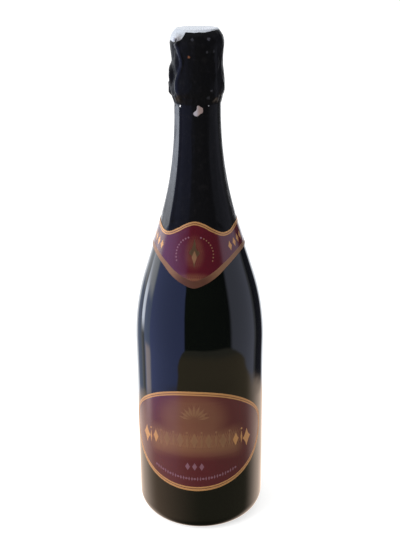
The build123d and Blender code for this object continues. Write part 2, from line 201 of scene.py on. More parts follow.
# %% Shader helpers
class Finish:
    """A node tree that is being filled."""

    def __init__(self, owner):
        owner.use_nodes = True
        self.owner, self.tree = owner, owner.node_tree
        self.tree.nodes.clear()

    def node(self, kind, sockets, output=0, **settings):
        made = self.tree.nodes.new(kind)
        for name, value in settings.items():
            setattr(made, name, value)
        for name, value in sockets.items():
            if isinstance(value, Signal):
                self.tree.links.new(value.socket, made.inputs[name])
            else:
                made.inputs[name].default_value = value
        return Signal(self, made.outputs[output]) if len(made.outputs) else made

    def step(self, signal, low, high):
        """Smooth mask: 0 where the signal is at low, 1 where it is at high."""
        sockets = {0: signal, 1: low, 2: high}
        return self.node("ShaderNodeMapRange", sockets, interpolation_type="SMOOTHSTEP")

    def band(self, signal, low, high, soft):
        """Smooth mask: 1 between low and high, fading out over soft on both sides."""
        rise = self.step(signal, low - soft, low + soft)
        return rise * (1 - self.step(signal, high - soft, high + soft))

    def mix(self, factor, first, second):
        """Colour mix; colours are given as three numbers or as signals."""
        ends = [(*c, 1.0) if isinstance(c, tuple) else c for c in (first, second)]
        sockets = {0: factor, 6: ends[0], 7: ends[1]}
        return self.node("ShaderNodeMix", sockets, 2, data_type="RGBA")

    def place(self, scale=(1, 1, 1)):
        """Object coordinates, scaled."""
        start = self.node("ShaderNodeTexCoord", {}, 3)
        return self.node("ShaderNodeMapping", {0: start, 3: scale})

    def split(self, vector):
        """X, Y and Z of a vector."""
        x = self.node("ShaderNodeSeparateXYZ", {0: vector})
        return x, x.other("Y"), x.other("Z")

    def reach(self, x, y):
        """Length of the flat vector x, y."""
        flat = self.node("ShaderNodeCombineXYZ", {0: x, 1: y})
        return self.node("ShaderNodeVectorMath", {0: flat}, 1, operation="LENGTH")

    def noise(self, scale, detail=3.0, where=None):
        sockets = {"Vector": where or self.place(), "Scale": scale, "Detail": detail}
        return self.node("ShaderNodeTexNoise", sockets)

    def bump(self, height, strength, depth, under=None):
        """Relief of a depth in mm, on top of the relief under it."""
        sockets = {"Height": height, "Strength": strength, "Distance": depth * mm}
        if under:
            sockets["Normal"] = under
        return self.node("ShaderNodeBump", sockets)


def material(name, surface):
    """A material whose Principled sockets come from surface(finish), as a dict."""
    made = bpy.data.materials.new(name)
    finish = Finish(made)
    shader = finish.node("ShaderNodeBsdfPrincipled", surface(finish))
    finish.node("ShaderNodeOutputMaterial", {"Surface": shader})
    print("finish", name, "with", len(made.node_tree.nodes), "nodes")
    return made


# %% [markdown]
# ## The studio
# Dark glass has almost no colour of its own: what is seen on it is the room. In the photo
# a blue window stands on the left, a grey one on the right, a brown table lies below and a
# white backdrop stands behind. Lamps and screens could stand there, but they would light
# the floor too. So the world is painted by direction, and only glossy rays see it. Diffuse
# rays get plain even light, and the camera sees white.

# %% Room and light
world = bpy.data.worlds.new("studio")
bpy.context.scene.world = world
room = Finish(world)
ray_x, ray_y, ray_z = room.split(room.node("ShaderNodeTexCoord", {}))
turn = ray_x.maths("ARCTAN2", ray_x, ray_y * -1.0) * degrees(1)
rise = ray_z.maths("ARCSINE", ray_z) * degrees(1)
side = turn.maths("ABSOLUTE", turn)


def across(low, high, soft):
    """Mask of the directions between two azimuths."""
    return room.band(turn, low, high, soft)


window_colour = room.mix(room.step(turn, -92, -30), (0.56, 0.68, 1.5), (0.42, 0.52, 1.25))

# The table starts lower down towards the sides
table_left = room.step(turn, -46, -24) * 8.9 - 28.4
table_right = room.step(turn, 45, 108) * 8.0
below = table_left - table_right - rise
table_near = room.mix(room.step(rise, -26, -21), (0.42, 0.33, 0.22), (0.26, 0.24, 0.20))
table_far = room.mix(room.step(turn, -85, 5), (0.85, 0.60, 0.44), (0.19, 0.165, 0.12))
table_front = room.mix(room.step(rise, -27.5, -33), table_near, table_far)
table_colour = room.mix(room.step(side, 88, 130), table_front, (1.6, 1.26, 1.03))

# From the front round to the back; every part is laid over the ones before it
view = room.mix(room.step(side, 100, 165), (0.03, 0.03, 0.045), (1.7, 1.75, 1.85))
for colour, mask in [
    ((0.80, 0.98, 1.55), across(-116, -96, 3)),
    (window_colour, across(-98, -27, 1.6) * room.step(rise, 16, 11)),
    ((4.4, 4.7, 5.4), across(-127, -116, 2) * room.step(rise, -21, -15)),
    ((0.42, 0.50, 0.72), across(-146, -127, 2.5) * room.step(rise, -8, -12)),
    ((2.2, 2.3, 2.5), across(-144, -101, 3) * room.step(rise, -8, -2)),
    ((0.60, 0.63, 0.82), across(57, 113, 4)),
    ((0.04, 0.04, 0.06), across(118, 148, 3.5)),
    (table_colour, room.step(below, -0.6, 0.9)),
    ((2.3, 2.0, 2.1), across(-113, -100, 3) * room.band(rise, -29, -23, 1.5)),
    ((0.05, 0.045, 0.035), room.step(rise, -35, -80)),  # the bottle's own shadow
    ((1.5, 1.55, 1.65), room.step(rise, 30, 60)),  # pale ceiling
]:
    view = room.mix(mask, view, colour)

rays = room.node("ShaderNodeLightPath", {})
even_light = room.node("ShaderNodeBackground", {0: (1.0, 0.99, 0.97, 1.0), 1: 0.60})
mirrored = room.node("ShaderNodeBackground", {0: view, 1: 1.0})
white = room.node("ShaderNodeBackground", {0: (1.0, 1.0, 1.0, 1.0), 1: 1.0})
in_gloss, in_camera = rays.other("Is Glossy Ray"), rays.other("Is Camera Ray")
light = room.node("ShaderNodeMixShader", {0: in_gloss, 1: even_light, 2: mirrored})
light = room.node("ShaderNodeMixShader", {0: in_camera, 1: light, 2: white})
room.node("ShaderNodeOutputWorld", {0: light})
print("room nodes", len(world.node_tree.nodes))

# %% [markdown]
# ## Lamp and floor
# Window light comes from one side. A sun would give a hard shadow, so a large area lamp on
# the left does it. Glossy rays don't see it, because its square outline would show on the
# glass. The floor is white paper that glows for the camera only, so that it melts into the
# background while the bottle's shadow stays on it.

# %% Lamp and floor
bpy.ops.object.light_add(type="AREA", location=(-1.2, -0.7, 0.8))
lamp = bpy.context.object
lamp.data.size = 1.0
lamp.data.energy = 16.0
lamp.rotation_euler = (Vector((0, 0, 0.15)) - lamp.location).to_track_quat("-Z", "Y").to_euler()
lamp.visible_glossy = False

bpy.ops.mesh.primitive_plane_add(size=12.0)
floor = bpy.context.object
floor.name = "floor"
floor.visible_glossy = False
paper = Finish(bpy.data.materials.new("floor_paper"))
paper_colour = paper.mix(paper.noise(40.0) * 0.1, (0.9, 0.9, 0.9), (0.8, 0.8, 0.8))
matt = paper.node("ShaderNodeBsdfDiffuse", {0: paper_colour})
glow = paper.node("ShaderNodeEmission", {0: (1.0, 1.0, 1.0, 1.0), 1: 0.62})
lit = paper.node("ShaderNodeAddShader", {0: matt, 1: glow})
camera_only = paper.node("ShaderNodeLightPath", {}).other("Is Camera Ray")
surface = paper.node("ShaderNodeMixShader", {0: camera_only, 1: matt, 2: lit})
paper.node("ShaderNodeOutputMaterial", {0: surface})
floor.data.materials.append(paper.owner)
floor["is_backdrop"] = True
print("floor and lamp in place")

# %% [markdown]
# ## Lathe work
# Glass and foil are round. A cylinder could be pushed into shape, but the outline is what
# a maker knows, so a piece starts as one vertex that is pulled along its outline and then
# spun round the axis. An outline that ends where it starts gives a closed wall.

# %% Lathe
def rounded(corners, steps=5):
    """Straight runs between corners (r, z, round), with the corners rounded."""
    outline = [corners[0][:2]]
    for before, (r, z, size), after in zip(corners, corners[1:], corners[2:]):
        if size == 0:
            outline.append((r, z))
            continue
        here = Vector((r, z))
        back = (Vector(before[:2]) - here).normalized()
        ahead = (Vector(after[:2]) - here).normalized()
        half = back.angle(ahead) / 2
        centre = here + (back + ahead).normalized() * size / sin(half)
        first, last = (here + end * size * cos(half) / sin(half) - centre for end in (back, ahead))
        for step in range(steps + 1):
            spoke = first.slerp(last, step / steps).normalized()
            outline.append(tuple(centre + spoke * size))
    return outline + [corners[-1][:2]]


def flank(offset, low, steps=64):
    """The bottle's side from height low to the neck, moved outwards by offset."""
    return [off_glass(low + (neck_z - low) * step / steps, offset) for step in range(steps + 1)]


def spun(name, outline, steps=160):
    """One vertex pulled along the outline (r, z in mm), then spun round the Z axis."""
    bpy.ops.mesh.primitive_plane_add(size=mm)
    piece = bpy.context.object
    piece.name = piece.data.name = name
    bpy.ops.object.mode_set(mode="EDIT")
    bpy.ops.mesh.select_all(action="SELECT")
    bpy.ops.mesh.merge(type="CENTER")
    bpy.ops.transform.translate(value=(outline[0][0] * mm, 0, outline[0][1] * mm))
    for (r, z), (next_r, next_z) in zip(outline, outline[1:]):
        pull = {"value": ((next_r - r) * mm, 0, (next_z - z) * mm)}
        bpy.ops.mesh.extrude_region_move(TRANSFORM_OT_translate=pull)
    bpy.ops.mesh.select_all(action="SELECT")
    bpy.ops.mesh.remove_doubles(threshold=0.001 * mm)
    bpy.ops.mesh.spin(steps=steps, angle=2 * pi, center=(0, 0, 0), axis=(0, 0, 1))
    bpy.ops.mesh.select_all(action="SELECT")
    bpy.ops.mesh.remove_doubles(threshold=0.001 * mm)
    bpy.ops.mesh.normals_make_consistent(inside=False)
    bpy.ops.object.mode_set(mode="OBJECT")
    return piece


def picked(*pieces):
    """Select these pieces only, with the first one active."""
    bpy.ops.object.select_all(action="DESELECT")
    for piece in pieces:
        piece.select_set(True)
    bpy.context.view_layer.objects.active = pieces[0]
    return pieces[0]


def dress(piece, body, slot, *finishes, crease=50):
    """Smooth shading, body and materials of a finished piece; slot is not used."""
    picked(piece)
    bpy.ops.object.shade_smooth_by_angle(angle=radians(crease))
    for finish in finishes:
        piece.data.materials.append(finish)
    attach(piece, body)
    print(piece.name, "has", len(piece.data.polygons), "faces")


# %% [markdown]
# ## Glass
# A champagne bottle is blown from dark green glass, 3 to 4 mm thick, with a deep hollow
# under its base that spreads the pressure. Real glass could be given a see-through
# shader. Filled with wine it looks almost black, so a dark gloss shows the same and
# renders without grain. The mould leaves slow waves in the surface and two fine seams.

# %% Glass bottle
punt_z, inner_crown_z, inner_wall = 28.0, 35.0, body_radius - wall
bore_radius, bore_end_z, inner_neck = 8.75, mouth_z - 26.5, neck_radius - wall

foot = rounded([(0, punt_z, 0), (10, punt_z, 12), (28.5, 0, 1.25), (31, 0, 0)])
heel_turns = [radians(7.5 * step - 90) for step in range(1, 13)]
heel = [
    (body_radius - heel_radius + heel_radius * cos(a), heel_radius + heel_radius * sin(a))
    for a in heel_turns
]
finish_up = rounded([
    (neck_radius, neck_z, 0), (neck_radius, ring_z, 0.2), (ring_radius, ring_z, 0.7),
    (ring_radius, ring_z + 7, 1.6), (groove_radius, ring_z + 8.2, 0.6),
    (groove_radius, lip_z, 0.3), (lip_radius, lip_z + 0.6, 0.5), (lip_radius, mouth_z, 1.4),
    (bore_radius, mouth_z, 0.8), (bore_radius, bore_end_z, 0), (inner_neck, neck_z, 0),
])
inside_down = flank(-wall, 40.0)[-2::-1]
floor_in = rounded([
    (inner_wall, 30, 0), (inner_wall, 9, 8), (10, inner_crown_z, 12), (0, inner_crown_z, 0),
])
bottle_outline = foot + heel + flank(0, 20.0) + finish_up[1:] + inside_down + floor_in
bottle = spun("glass_bottle_blown", bottle_outline)


def glass_look(finish):
    waves, ripples = finish.noise(28.0, 1.0), finish.noise(160.0, 2.0)
    seam = finish.band(finish.split(finish.place())[1], -0.25 * mm, 0.25 * mm, 0.15 * mm)
    relief = finish.bump(waves, 0.35, 1.2)
    relief = finish.bump(ripples, 0.10, 0.12, relief)
    smears = finish.noise(55.0, 4.0, finish.place((1, 1, 0.35)))
    return {
        "Base Color": finish.mix(smears, (0.0016, 0.0024, 0.0012), (0.0024, 0.0034, 0.0016)),
        "Roughness": finish.step(smears, 0.45, 0.85) * 0.03 + 0.035,
        "IOR": 1.52,
        "Normal": finish.bump(seam, 0.5, 0.05, relief),
    }


dress(bottle, "bottle", "dark_glass", material("dark_glass", glass_look))
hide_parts("glass_bottle")

# %% [markdown]
# ## Wine
# The wine shows only when the cork is out. Its bubbles could be small balls, but at this
# size spots in a cell pattern do: one shader, no extra pieces. The piece keeps the shape
# that the CAD gave it, because a liquid has just the form of its bottle.

# %% Wine
def wine_look(finish):
    cells = finish.node("ShaderNodeTexVoronoi", {"Vector": finish.place(), "Scale": 420.0})
    bubble = 1 - finish.step(cells, 0.10, 0.22)
    straw = finish.mix(finish.noise(30.0), (0.55, 0.40, 0.12), (0.66, 0.50, 0.18))
    return {
        "Base Color": finish.mix(bubble, straw, (0.95, 0.92, 0.78)),
        "Roughness": 0.06,
        "IOR": 1.34,
        "Normal": finish.bump(bubble, 0.2, 0.2),
    }


def refinish(node, finish):
    """Give a piece that keeps its CAD shape its material."""
    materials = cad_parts[node].data.materials
    materials.clear()
    materials.append(finish)
    print(node, "keeps its CAD shape")


refinish("wine", material("wine", wine_look))

# %% [markdown]
# ## Cork
# A champagne cork is pressed from cork granules, with two discs of natural cork towards
# the wine. A photo of cork could be laid on it, but a pattern in the shader has no seams
# and is sharp at any distance. Granules are cells with a colour each and a dark joint
# between them. Natural cork is even, with short dark pores.

# %% Cork
def granule_look(finish):
    grains = {"Vector": finish.place(), "Scale": 520.0}
    cells = finish.node("ShaderNodeTexVoronoi", grains, 1)
    gaps = finish.node("ShaderNodeTexVoronoi", grains, feature="DISTANCE_TO_EDGE")
    tone = finish.node("ShaderNodeSeparateColor", {0: cells})
    body = finish.mix(tone, (0.36, 0.20, 0.10), (0.62, 0.42, 0.24))
    joint = 1 - finish.step(gaps, 0.02, 0.10)
    return {
        "Base Color": finish.mix(joint * 0.75, body, (0.16, 0.08, 0.04)),
        "Roughness": 0.85,
        "Normal": finish.bump(gaps, 0.4, 0.3),
    }


def natural_cork_look(finish):
    grain = finish.noise(260.0, 4.0, finish.place((1, 1, 4)))
    pores = finish.noise(900.0, 2.0, finish.place((1.0, 0.35, 1.0)))
    body = finish.mix(grain, (0.46, 0.28, 0.15), (0.66, 0.46, 0.28))
    return {
        "Base Color": finish.mix(finish.step(pores, 0.60, 0.70), body, (0.15, 0.07, 0.04)),
        "Roughness": 0.8,
        "Normal": finish.bump(pores, 0.3, 0.15),
    }


refinish("cork_body", material("pressed_cork", granule_look))
natural_cork = material("natural_cork", natural_cork_look)
refinish("cork_disc_upper", natural_cork)
refinish("cork_disc_lower", natural_cork)

# %% [markdown]
# ## Wire hood
# The hood that holds the cork is tinned steel wire. Each leg is two strands twisted
# together and ends in an eyelet round the belt wire. A bump map on a plain tube would show
# the twist from afar, but not at the edge of the wire. So each strand follows a helix
# round the leg's route, and the route is a line with rounded bends in the leg's plane.

# %% Twisted wire
def tube(name, points, radius, closed=False):
    """A round wire along points in mm."""
    line = bpy.data.curves.new(name, "CURVE")
    line.dimensions = "3D"
    line.bevel_depth = radius * mm
    line.bevel_resolution = 1
    line.use_fill_caps = not closed
    run = line.splines.new("POLY")
    run.points.add(len(points) - 1)
    for spot, point in zip(run.points, points):
        spot.co = (*[v * mm for v in point], 1)
    run.use_cyclic_u = closed
    made = bpy.data.objects.new(name, line)
    bpy.context.scene.collection.objects.link(made)
    picked(made)
    bpy.ops.object.convert(target="MESH")
    return bpy.context.object


def route_points(route, gap=0.3):
    """Evenly spaced points on a polyline."""
    points = [Vector(route[0])]
    for a, b in zip(route, route[1:]):
        a, b = Vector(a), Vector(b)
        count = max(1, round((b - a).length / gap))
        points += [a.lerp(b, step / count) for step in range(1, count + 1)]
    return points


def twisted(name, centres, side, radius, pitch, closed=False):
    """Two strands wound round each other along a centre line; side points across it."""
    strands = []
    for start in (0, pi):
        points, travelled = [], 0.0
        for i, here in enumerate(centres):
            after = (i + 1) % len(centres) if closed else min(i + 1, len(centres) - 1)
            ahead = centres[after]
            behind = centres[i - 1] if closed or i else centres[0]
            up = (ahead - behind).normalized().cross(side).normalized()
            turned = 2 * pi * travelled / pitch + start
            points.append(here + (side * cos(turned) + up * sin(turned)) * radius)
            travelled += (ahead - here).length
        strands.append(tube(name, points, radius, closed))
    return strands


print("a route of 10 mm has", len(route_points([(0, 0, 0), (0, 0, 10)])), "points")

# %% [markdown]
# ## Rings and copies
# Eyelets are round wire bent into a ring. They could be curves too, but a torus is already
# that shape. Parts of one wire are joined, so that a piece stays one object. A copy gets a
# mesh of its own, because a shared mesh would turn with every copy.

# %% Rings and copies
def hoop(radius, thickness, steps, sides, centre, tilt=(0, 0, 0)):
    """A ring of round wire; sizes and centre in mm."""
    bpy.ops.mesh.primitive_torus_add(
        major_radius=radius * mm, minor_radius=thickness / 2 * mm, major_segments=steps,
        minor_segments=sides, location=[v * mm for v in centre], rotation=tilt,
    )
    bpy.ops.object.transform_apply(location=True, rotation=True)
    return bpy.context.object


def joined(name, *parts):
    whole = picked(*parts)
    bpy.ops.object.join()
    whole.name = whole.data.name = name
    return whole


def copied(shape):
    """A copy of an object, with a mesh of its own."""
    made = shape.copy()
    made.data = shape.data.copy()
    bpy.context.scene.collection.objects.link(made)
    return made


def turned_to(piece, azimuth):
    """Turn a piece made at the front round the axis to its azimuth."""
    piece.data.transform(Matrix.Rotation(radians(azimuth), 4, "Z"))
    return piece


print("the wires bend in at the cork's top,", round(cork_top_z, 1), "mm up")

# %% [markdown]
# One leg is made at the front and copied to its four places. The four could be made
# separately, but the copies keep them alike, as the wire machine does. The top ring is
# twisted from two strands as well.

# %% Legs and top ring
leg_azimuths = (-48, 42, 132, 222)
leg_r, belt_r = 15.65, 15.02
ring_r, wire_top_z = 13.125, 319.53
strand_radius, leg_pitch = 0.3, 3.2
leg_route = rounded([
    (ring_r, wire_top_z, 0), (14.95, 318.47, 3.35), (leg_r, 290.77, 20), (leg_r, belt_z + 0.9, 0),
])
leg_line = route_points([(0, -r, z) for r, z in leg_route])
leg_strands = twisted("strand", leg_line, Vector((1, 0, 0)), strand_radius, leg_pitch)
eyelet = hoop(0.8, 0.6, 24, 8, (0, -belt_r, belt_z), (0, pi / 2, 0))
first_leg = joined("leg", *leg_strands, eyelet)
legs = [turned_to(copied(first_leg), azimuth) for azimuth in leg_azimuths]
bpy.data.objects.remove(first_leg)

ring_steps, ring_twists = 270, 26
ring_turns = [2 * pi * step / ring_steps for step in range(ring_steps)]
ring_line = [Vector((ring_r * cos(a), ring_r * sin(a), wire_top_z)) for a in ring_turns]
ring_pitch = 2 * pi * ring_r / ring_twists
ring_strands = twisted("ring", ring_line, Vector((0, 0, 1)), strand_radius, ring_pitch, True)
cage = joined("muselet_wires", *legs, *ring_strands)


def wire_look(finish):
    patches = finish.noise(700.0)
    return {
        "Base Color": finish.mix(patches, (0.50, 0.50, 0.50), (0.66, 0.65, 0.63)),
        "Metallic": 1.0,
        "Roughness": patches * 0.2 + 0.22,
        "Normal": finish.bump(patches, 0.2, 0.05),
    }


hood_wire = material("hood_wire", wire_look)
dress(cage, "cage", "hood_wire", hood_wire, crease=60)
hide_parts("muselet_cage")

# %% [markdown]
# ## Belt wire and key
# The belt wire runs under the glass ring through the four eyelets. Its twisted end, the
# key, has a loop to turn it by and lies folded up against the neck. It could be bent from
# one long curve. Here a ring, a short twist and the key are separate shapes, because the
# key has to fold down on its own.

# %% Belt and key
key_azimuth = -93.0
key_front_r, key_wire = 15.95, 0.9
eye_z, eye_r, stem_top_z = 295.3, 4.6, 290.9
belt_ring = hoop(belt_r, key_wire, 128, 10, (0, 0, belt_z))
stub_line = route_points([(0, -belt_r + 0.2, belt_z), (0, -15.9, belt_z)], 0.1)
stubs = twisted("stub", stub_line, Vector((1, 0, 0)), 0.44, 3.6)
belt = joined("muselet_belt_wire", belt_ring, *[turned_to(stub, key_azimuth) for stub in stubs])
dress(belt, "cage", "hood_wire", hood_wire, crease=60)
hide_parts("muselet_belt")

stem_line = route_points([(0, -key_front_r, belt_z + 0.95), (0, -key_front_r, stem_top_z)])
stems = twisted("stem", stem_line, Vector((1, 0, 0)), 0.44, 2.8)
eye = hoop(eye_r, key_wire, 56, 10, (0, -15.5, eye_z), (pi / 2, 0, 0))
key = turned_to(joined("muselet_key_twist", *stems, eye), key_azimuth)
dress(key, "key", "hood_wire", hood_wire, crease=60)
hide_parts("muselet_key")

# %% [markdown]
# ## Metal plate
# A thin stamped plate keeps the wires from cutting the cork. It is a dish with a turned
# down rim, lacquered, with plain rings stamped into its crown. The rings could be a bump,
# but the plate is thin and seen from the side, so they are in its outline.

# %% Plate
seat_z = cork_top_z + 0.05
crown_z = seat_z + 2.3
rim_r, rim_inner_r = 12.475, 12.175
upper = rounded([
    (0, crown_z, 0), (3.2, crown_z, 0.4), (3.6, crown_z - 0.18, 0.3), (6.2, crown_z - 0.18, 0.3),
    (6.6, crown_z, 0.4), (8.5, crown_z, 1.0), (10.6, seat_z + 0.6, 0.9),
    (rim_r, seat_z + 0.6, 0.35), (rim_r, seat_z, 0),
])
lower = rounded([
    (rim_r, seat_z, 0), (rim_inner_r, seat_z, 0), (rim_inner_r, seat_z + 0.3, 0.1),
    (10.45, seat_z + 0.3, 0.6), (8.35, crown_z - 0.32, 0.8), (6.6, crown_z - 0.32, 0.2),
    (6.2, crown_z - 0.5, 0.2), (3.6, crown_z - 0.5, 0.2), (3.2, crown_z - 0.32, 0.2),
    (0, crown_z - 0.32, 0),
])
plate = spun("muselet_plate_stamped", upper + lower[1:], steps=96)


def plate_look(finish):
    x, y, _ = finish.split(finish.place())
    reach = finish.reach(x, y)
    inner_ring = finish.band(reach, 6.7 * mm, 8.2 * mm, 0.1 * mm)
    gilt = inner_ring + finish.band(reach, 10.9 * mm, 14 * mm, 0.1 * mm)
    scratches = finish.noise(500.0, 4.0, finish.place((1, 6, 1)))
    return {
        "Base Color": finish.mix(gilt, (0.07, 0.006, 0.012), (0.62, 0.40, 0.16)),
        "Metallic": gilt * 0.9,
        "Roughness": scratches * 0.25 + 0.18,
        "Normal": finish.bump(scratches, 0.1, 0.05),
    }


dress(plate, "cage", "plate_lacquer", material("plate_lacquer", plate_look), crease=40)
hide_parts("muselet_plate")

# %% [markdown]
# ## Soft forms
# Foil swells and dents, so a lathe isn't enough. It could be sculpted, or draped by a
# cloth solver, but a formula gives the same form in every run and can be read. A few small
# helpers come first: a smooth line through places, hills, smooth steps and crumples.

# %% Helpers for soft forms
def through(points, steps):
    """Smooth line through points, as a Catmull-Rom curve."""
    line = [Vector(p) for p in points]
    line = [2 * line[0] - line[1], *line, 2 * line[-1] - line[-2]]
    result = []
    for a, b, c, d in zip(line, line[1:], line[2:], line[3:]):
        square, cube = 2 * a - 5 * b + 4 * c - d, 3 * b - a - 3 * c + d
        for t in [step / steps for step in range(steps)]:
            result.append(0.5 * (2 * b + (c - a) * t + square * t**2 + cube * t**3))
    return [tuple(p) for p in result] + [tuple(line[-2])]


def hill(distance, width):
    """1 in the middle, falling smoothly to 0 at width."""
    share = min(abs(distance) / width, 1.0)
    return (1 - share * share) ** 2


def between(value, low, high):
    """Smooth step from 0 at low to 1 at high."""
    share = min(max((value - low) / (high - low), 0.0), 1.0)
    return share * share * (3 - 2 * share)


def apart(azimuth, other):
    """Signed difference of two azimuths, from -180 to 180 degrees."""
    return (azimuth - other + 180) % 360 - 180


def drift(x, y, z):
    """A slow random value at a place, the same in every run."""
    return noise.noise(Vector((x, y, z)))


def crumple(azimuth, height, scale):
    """Soft folds with sharp crests, about -1 to 1."""
    angle = radians(azimuth)
    spot = Vector((15 * sin(angle), -15 * cos(angle), height * 0.6)) * scale
    folds = 1 - 2.6 * abs(noise.noise(spot + Vector((3.1, 7.7, 1.3))))
    return 0.6 * folds + 0.5 * noise.noise(spot * 2.3)


print("a hill half way out is", hill(0.5, 1.0), "high")

# %% [markdown]
# ## Pressing foil into shape
# Foil is pressed on as an even sheet. A displace modifier could push its points along
# their normals, but here each point moves straight out from the axis, to the radius that a
# function gives for its azimuth and height. The sheet then gets its thickness, and places
# that fingers rubbed are marked for the finish to read.

# %% Shape, thickness and wear
def shaped(piece, radius_at):
    """Move each vertex outwards or inwards to radius_at(radius, azimuth, height), in mm."""
    for vertex in piece.data.vertices:
        radius, azimuth, z = polar(vertex.co)
        if radius > 0.01:
            vertex.co = at(azimuth, radius_at(radius, azimuth, z), z)
    return piece


def thickened(piece, thickness, offset=-1.0):
    """Give a sheet a thickness in its own unit."""
    bpy.context.view_layer.objects.active = piece
    solid = piece.modifiers.new("thickness", "SOLIDIFY")
    solid.thickness = thickness
    solid.offset = offset
    bpy.ops.object.modifier_apply(modifier=solid.name)
    return piece


def burnish(piece, share):
    """Mark how far the foil is rubbed smooth, as share(azimuth, height) at each point."""
    worn = piece.data.attributes.new("worn", "FLOAT", "POINT")
    for vertex in piece.data.vertices:
        _, azimuth, z = polar(vertex.co)
        worn.data[vertex.index].value = share(azimuth, z)
    return piece


print("foil is shaped first, then thickened")

# %% [markdown]
# ## Wires under the foil
# The foil is thin and soft, so every wire shows: a ridge over each leg, a knob over each
# eyelet and a flat pad over the key's loop. A shrinkwrap onto the wires would catch on
# every strand. So a function for each says how far out the foil lies, on top of a smooth
# line through a few places.

# %% Foil over the wires
hood_line = through([
    (14.27, hood_low_z), (14.87, 282.87), (15.87, 285.47), (16.3, 288.07), (16.15, 292.37),
    (15.55, 298.07), (15.15, 303.87), (15.5, 309.07), (15.85, 314.07), (15.1, 318.07),
    (13.7, 320.67), (12.3, hood_top_z - 0.02),
], 8)
# Height and azimuth of places on the loose fold
fold_places = [
    (278, -40), (284.5, -44), (289, -49), (292.5, -50), (295, -48), (299.5, -41), (302.7, -36),
    (306, -37), (310, -42), (314, -46), (322.4, -48),
]
mm_per_degree = 0.27
lean_z, leg_lean = 290.8, 0.7 / 27.7
pad_r, stem_r = 16.42, 17.12


def below_crown(height):
    """1 on the hood's side, 0 on its crown, where no wire shows."""
    return 1 - between(height, 316.0, 319.5)


def off_the_fold(azimuth, height):
    """Distance in mm round the hood from the fold's crest."""
    for (z, place), (next_z, next_place) in zip(fold_places, fold_places[1:]):
        if z <= height <= next_z:
            crest = place + (height - z) / (next_z - z) * (next_place - place)
            return apart(azimuth, crest) * mm_per_degree
    return 20.0


def over_legs(base, azimuth, height):
    """Radius of the foil where it lies on a leg or its eyelet, else base."""
    radius = base
    for leg_azimuth in leg_azimuths:
        off = abs(radians(apart(azimuth, leg_azimuth))) * base
        leg_here = leg_r - leg_lean * max(height - lean_z, 0)
        knob = belt_r + 1.45 * hill(hypot(off, height - belt_z), 3.2) ** 0.5
        crest = max(leg_here + 0.92 - 0.12 * off**1.6, knob)
        if height < belt_z:
            crest = min(crest, base + (crest - base) * between(height, belt_z - 5, belt_z))
        radius = max(radius, base + max(crest - base, 0) * below_crown(height))
    return radius


def over_key(base, azimuth, height):
    """Radius of the foil where it lies on the key, else base."""
    off = radians(apart(azimuth, key_azimuth))
    reach = hypot(base * off, height - eye_z)
    if reach >= 12:
        return base
    pad = (pad_r / cos(off) - base) * (1 - between(reach, 5.2, 9.0))
    stem = stem_r - 0.5 * max(abs(base * off) - 0.7, 0) ** 1.5
    stem -= 0.6 * max(height - 291.0, 0, 285.6 - height) ** 1.4
    return max(base, base + pad, stem)


print("over the key's loop the foil is", round(over_key(15, key_azimuth, eye_z), 2), "mm out")

# %% [markdown]
# ## Foil hood
# The hood rests on whatever stands out furthest. It is gathered in small folds under the
# glass ring, crumpled all over, and one long loose fold winds down along the front left
# leg. It could be sculpted by hand, but a sum of small functions keeps the folds apart, so
# that each can be changed by itself.

# %% Foil hood
def hood_radius(base, azimuth, height):
    """Radius of the foil's outside in mm; base is the radius between the wires."""
    radius = max(over_legs(base, azimuth, height), over_key(base, azimuth, height))
    gather = 1 - between(height, 282.5, 287.5)
    waver = 2.2 * drift(azimuth * 0.06, 1.7, 0)
    calm = (1 - between(height, 319.0, 322.3)) * (0.2 + 0.8 * between(height, 279.6, 282.6))
    radius += 0.14 * gather * calm * sin(radians(azimuth) * 23 + waver)
    radius += 0.30 * calm * crumple(azimuth, height, 0.20)
    radius += 0.10 * calm * crumple(azimuth + 40, height, 0.55)
    fold = base + 0.95 * hill(off_the_fold(azimuth, height), 2.7)
    plain = 1 - between(height, 281, 285) * below_crown(height)
    radius = max(radius, fold + (radius - fold) * plain)
    off_dent = hypot(radians(apart(azimuth, -50)) * 15, height - 316.5)
    return radius + 0.38 * hill(off_dent - 2.4, 1.6) - 0.8 * hill(off_dent, 2.0)


def rubbed_hood(azimuth, height):
    """The foil is rubbed smooth on the fold and a little over the other legs."""
    off = min(abs(apart(azimuth, leg)) for leg in leg_azimuths[1:]) * mm_per_degree
    rubbed = hill(off_the_fold(azimuth, height), 2.7) + 0.4 * hill(off, 2.2)
    return rubbed * between(height, 281, 285) * (1 - between(height, 311, 316))


hood = spun("foil_hood_crumpled", hood_line + [(9.0, hood_top_z - 0.02)], steps=300)
hood = burnish(thickened(shaped(hood, hood_radius), 0.12 * mm), rubbed_hood)
print("foil hood has", len(hood.data.vertices), "points")
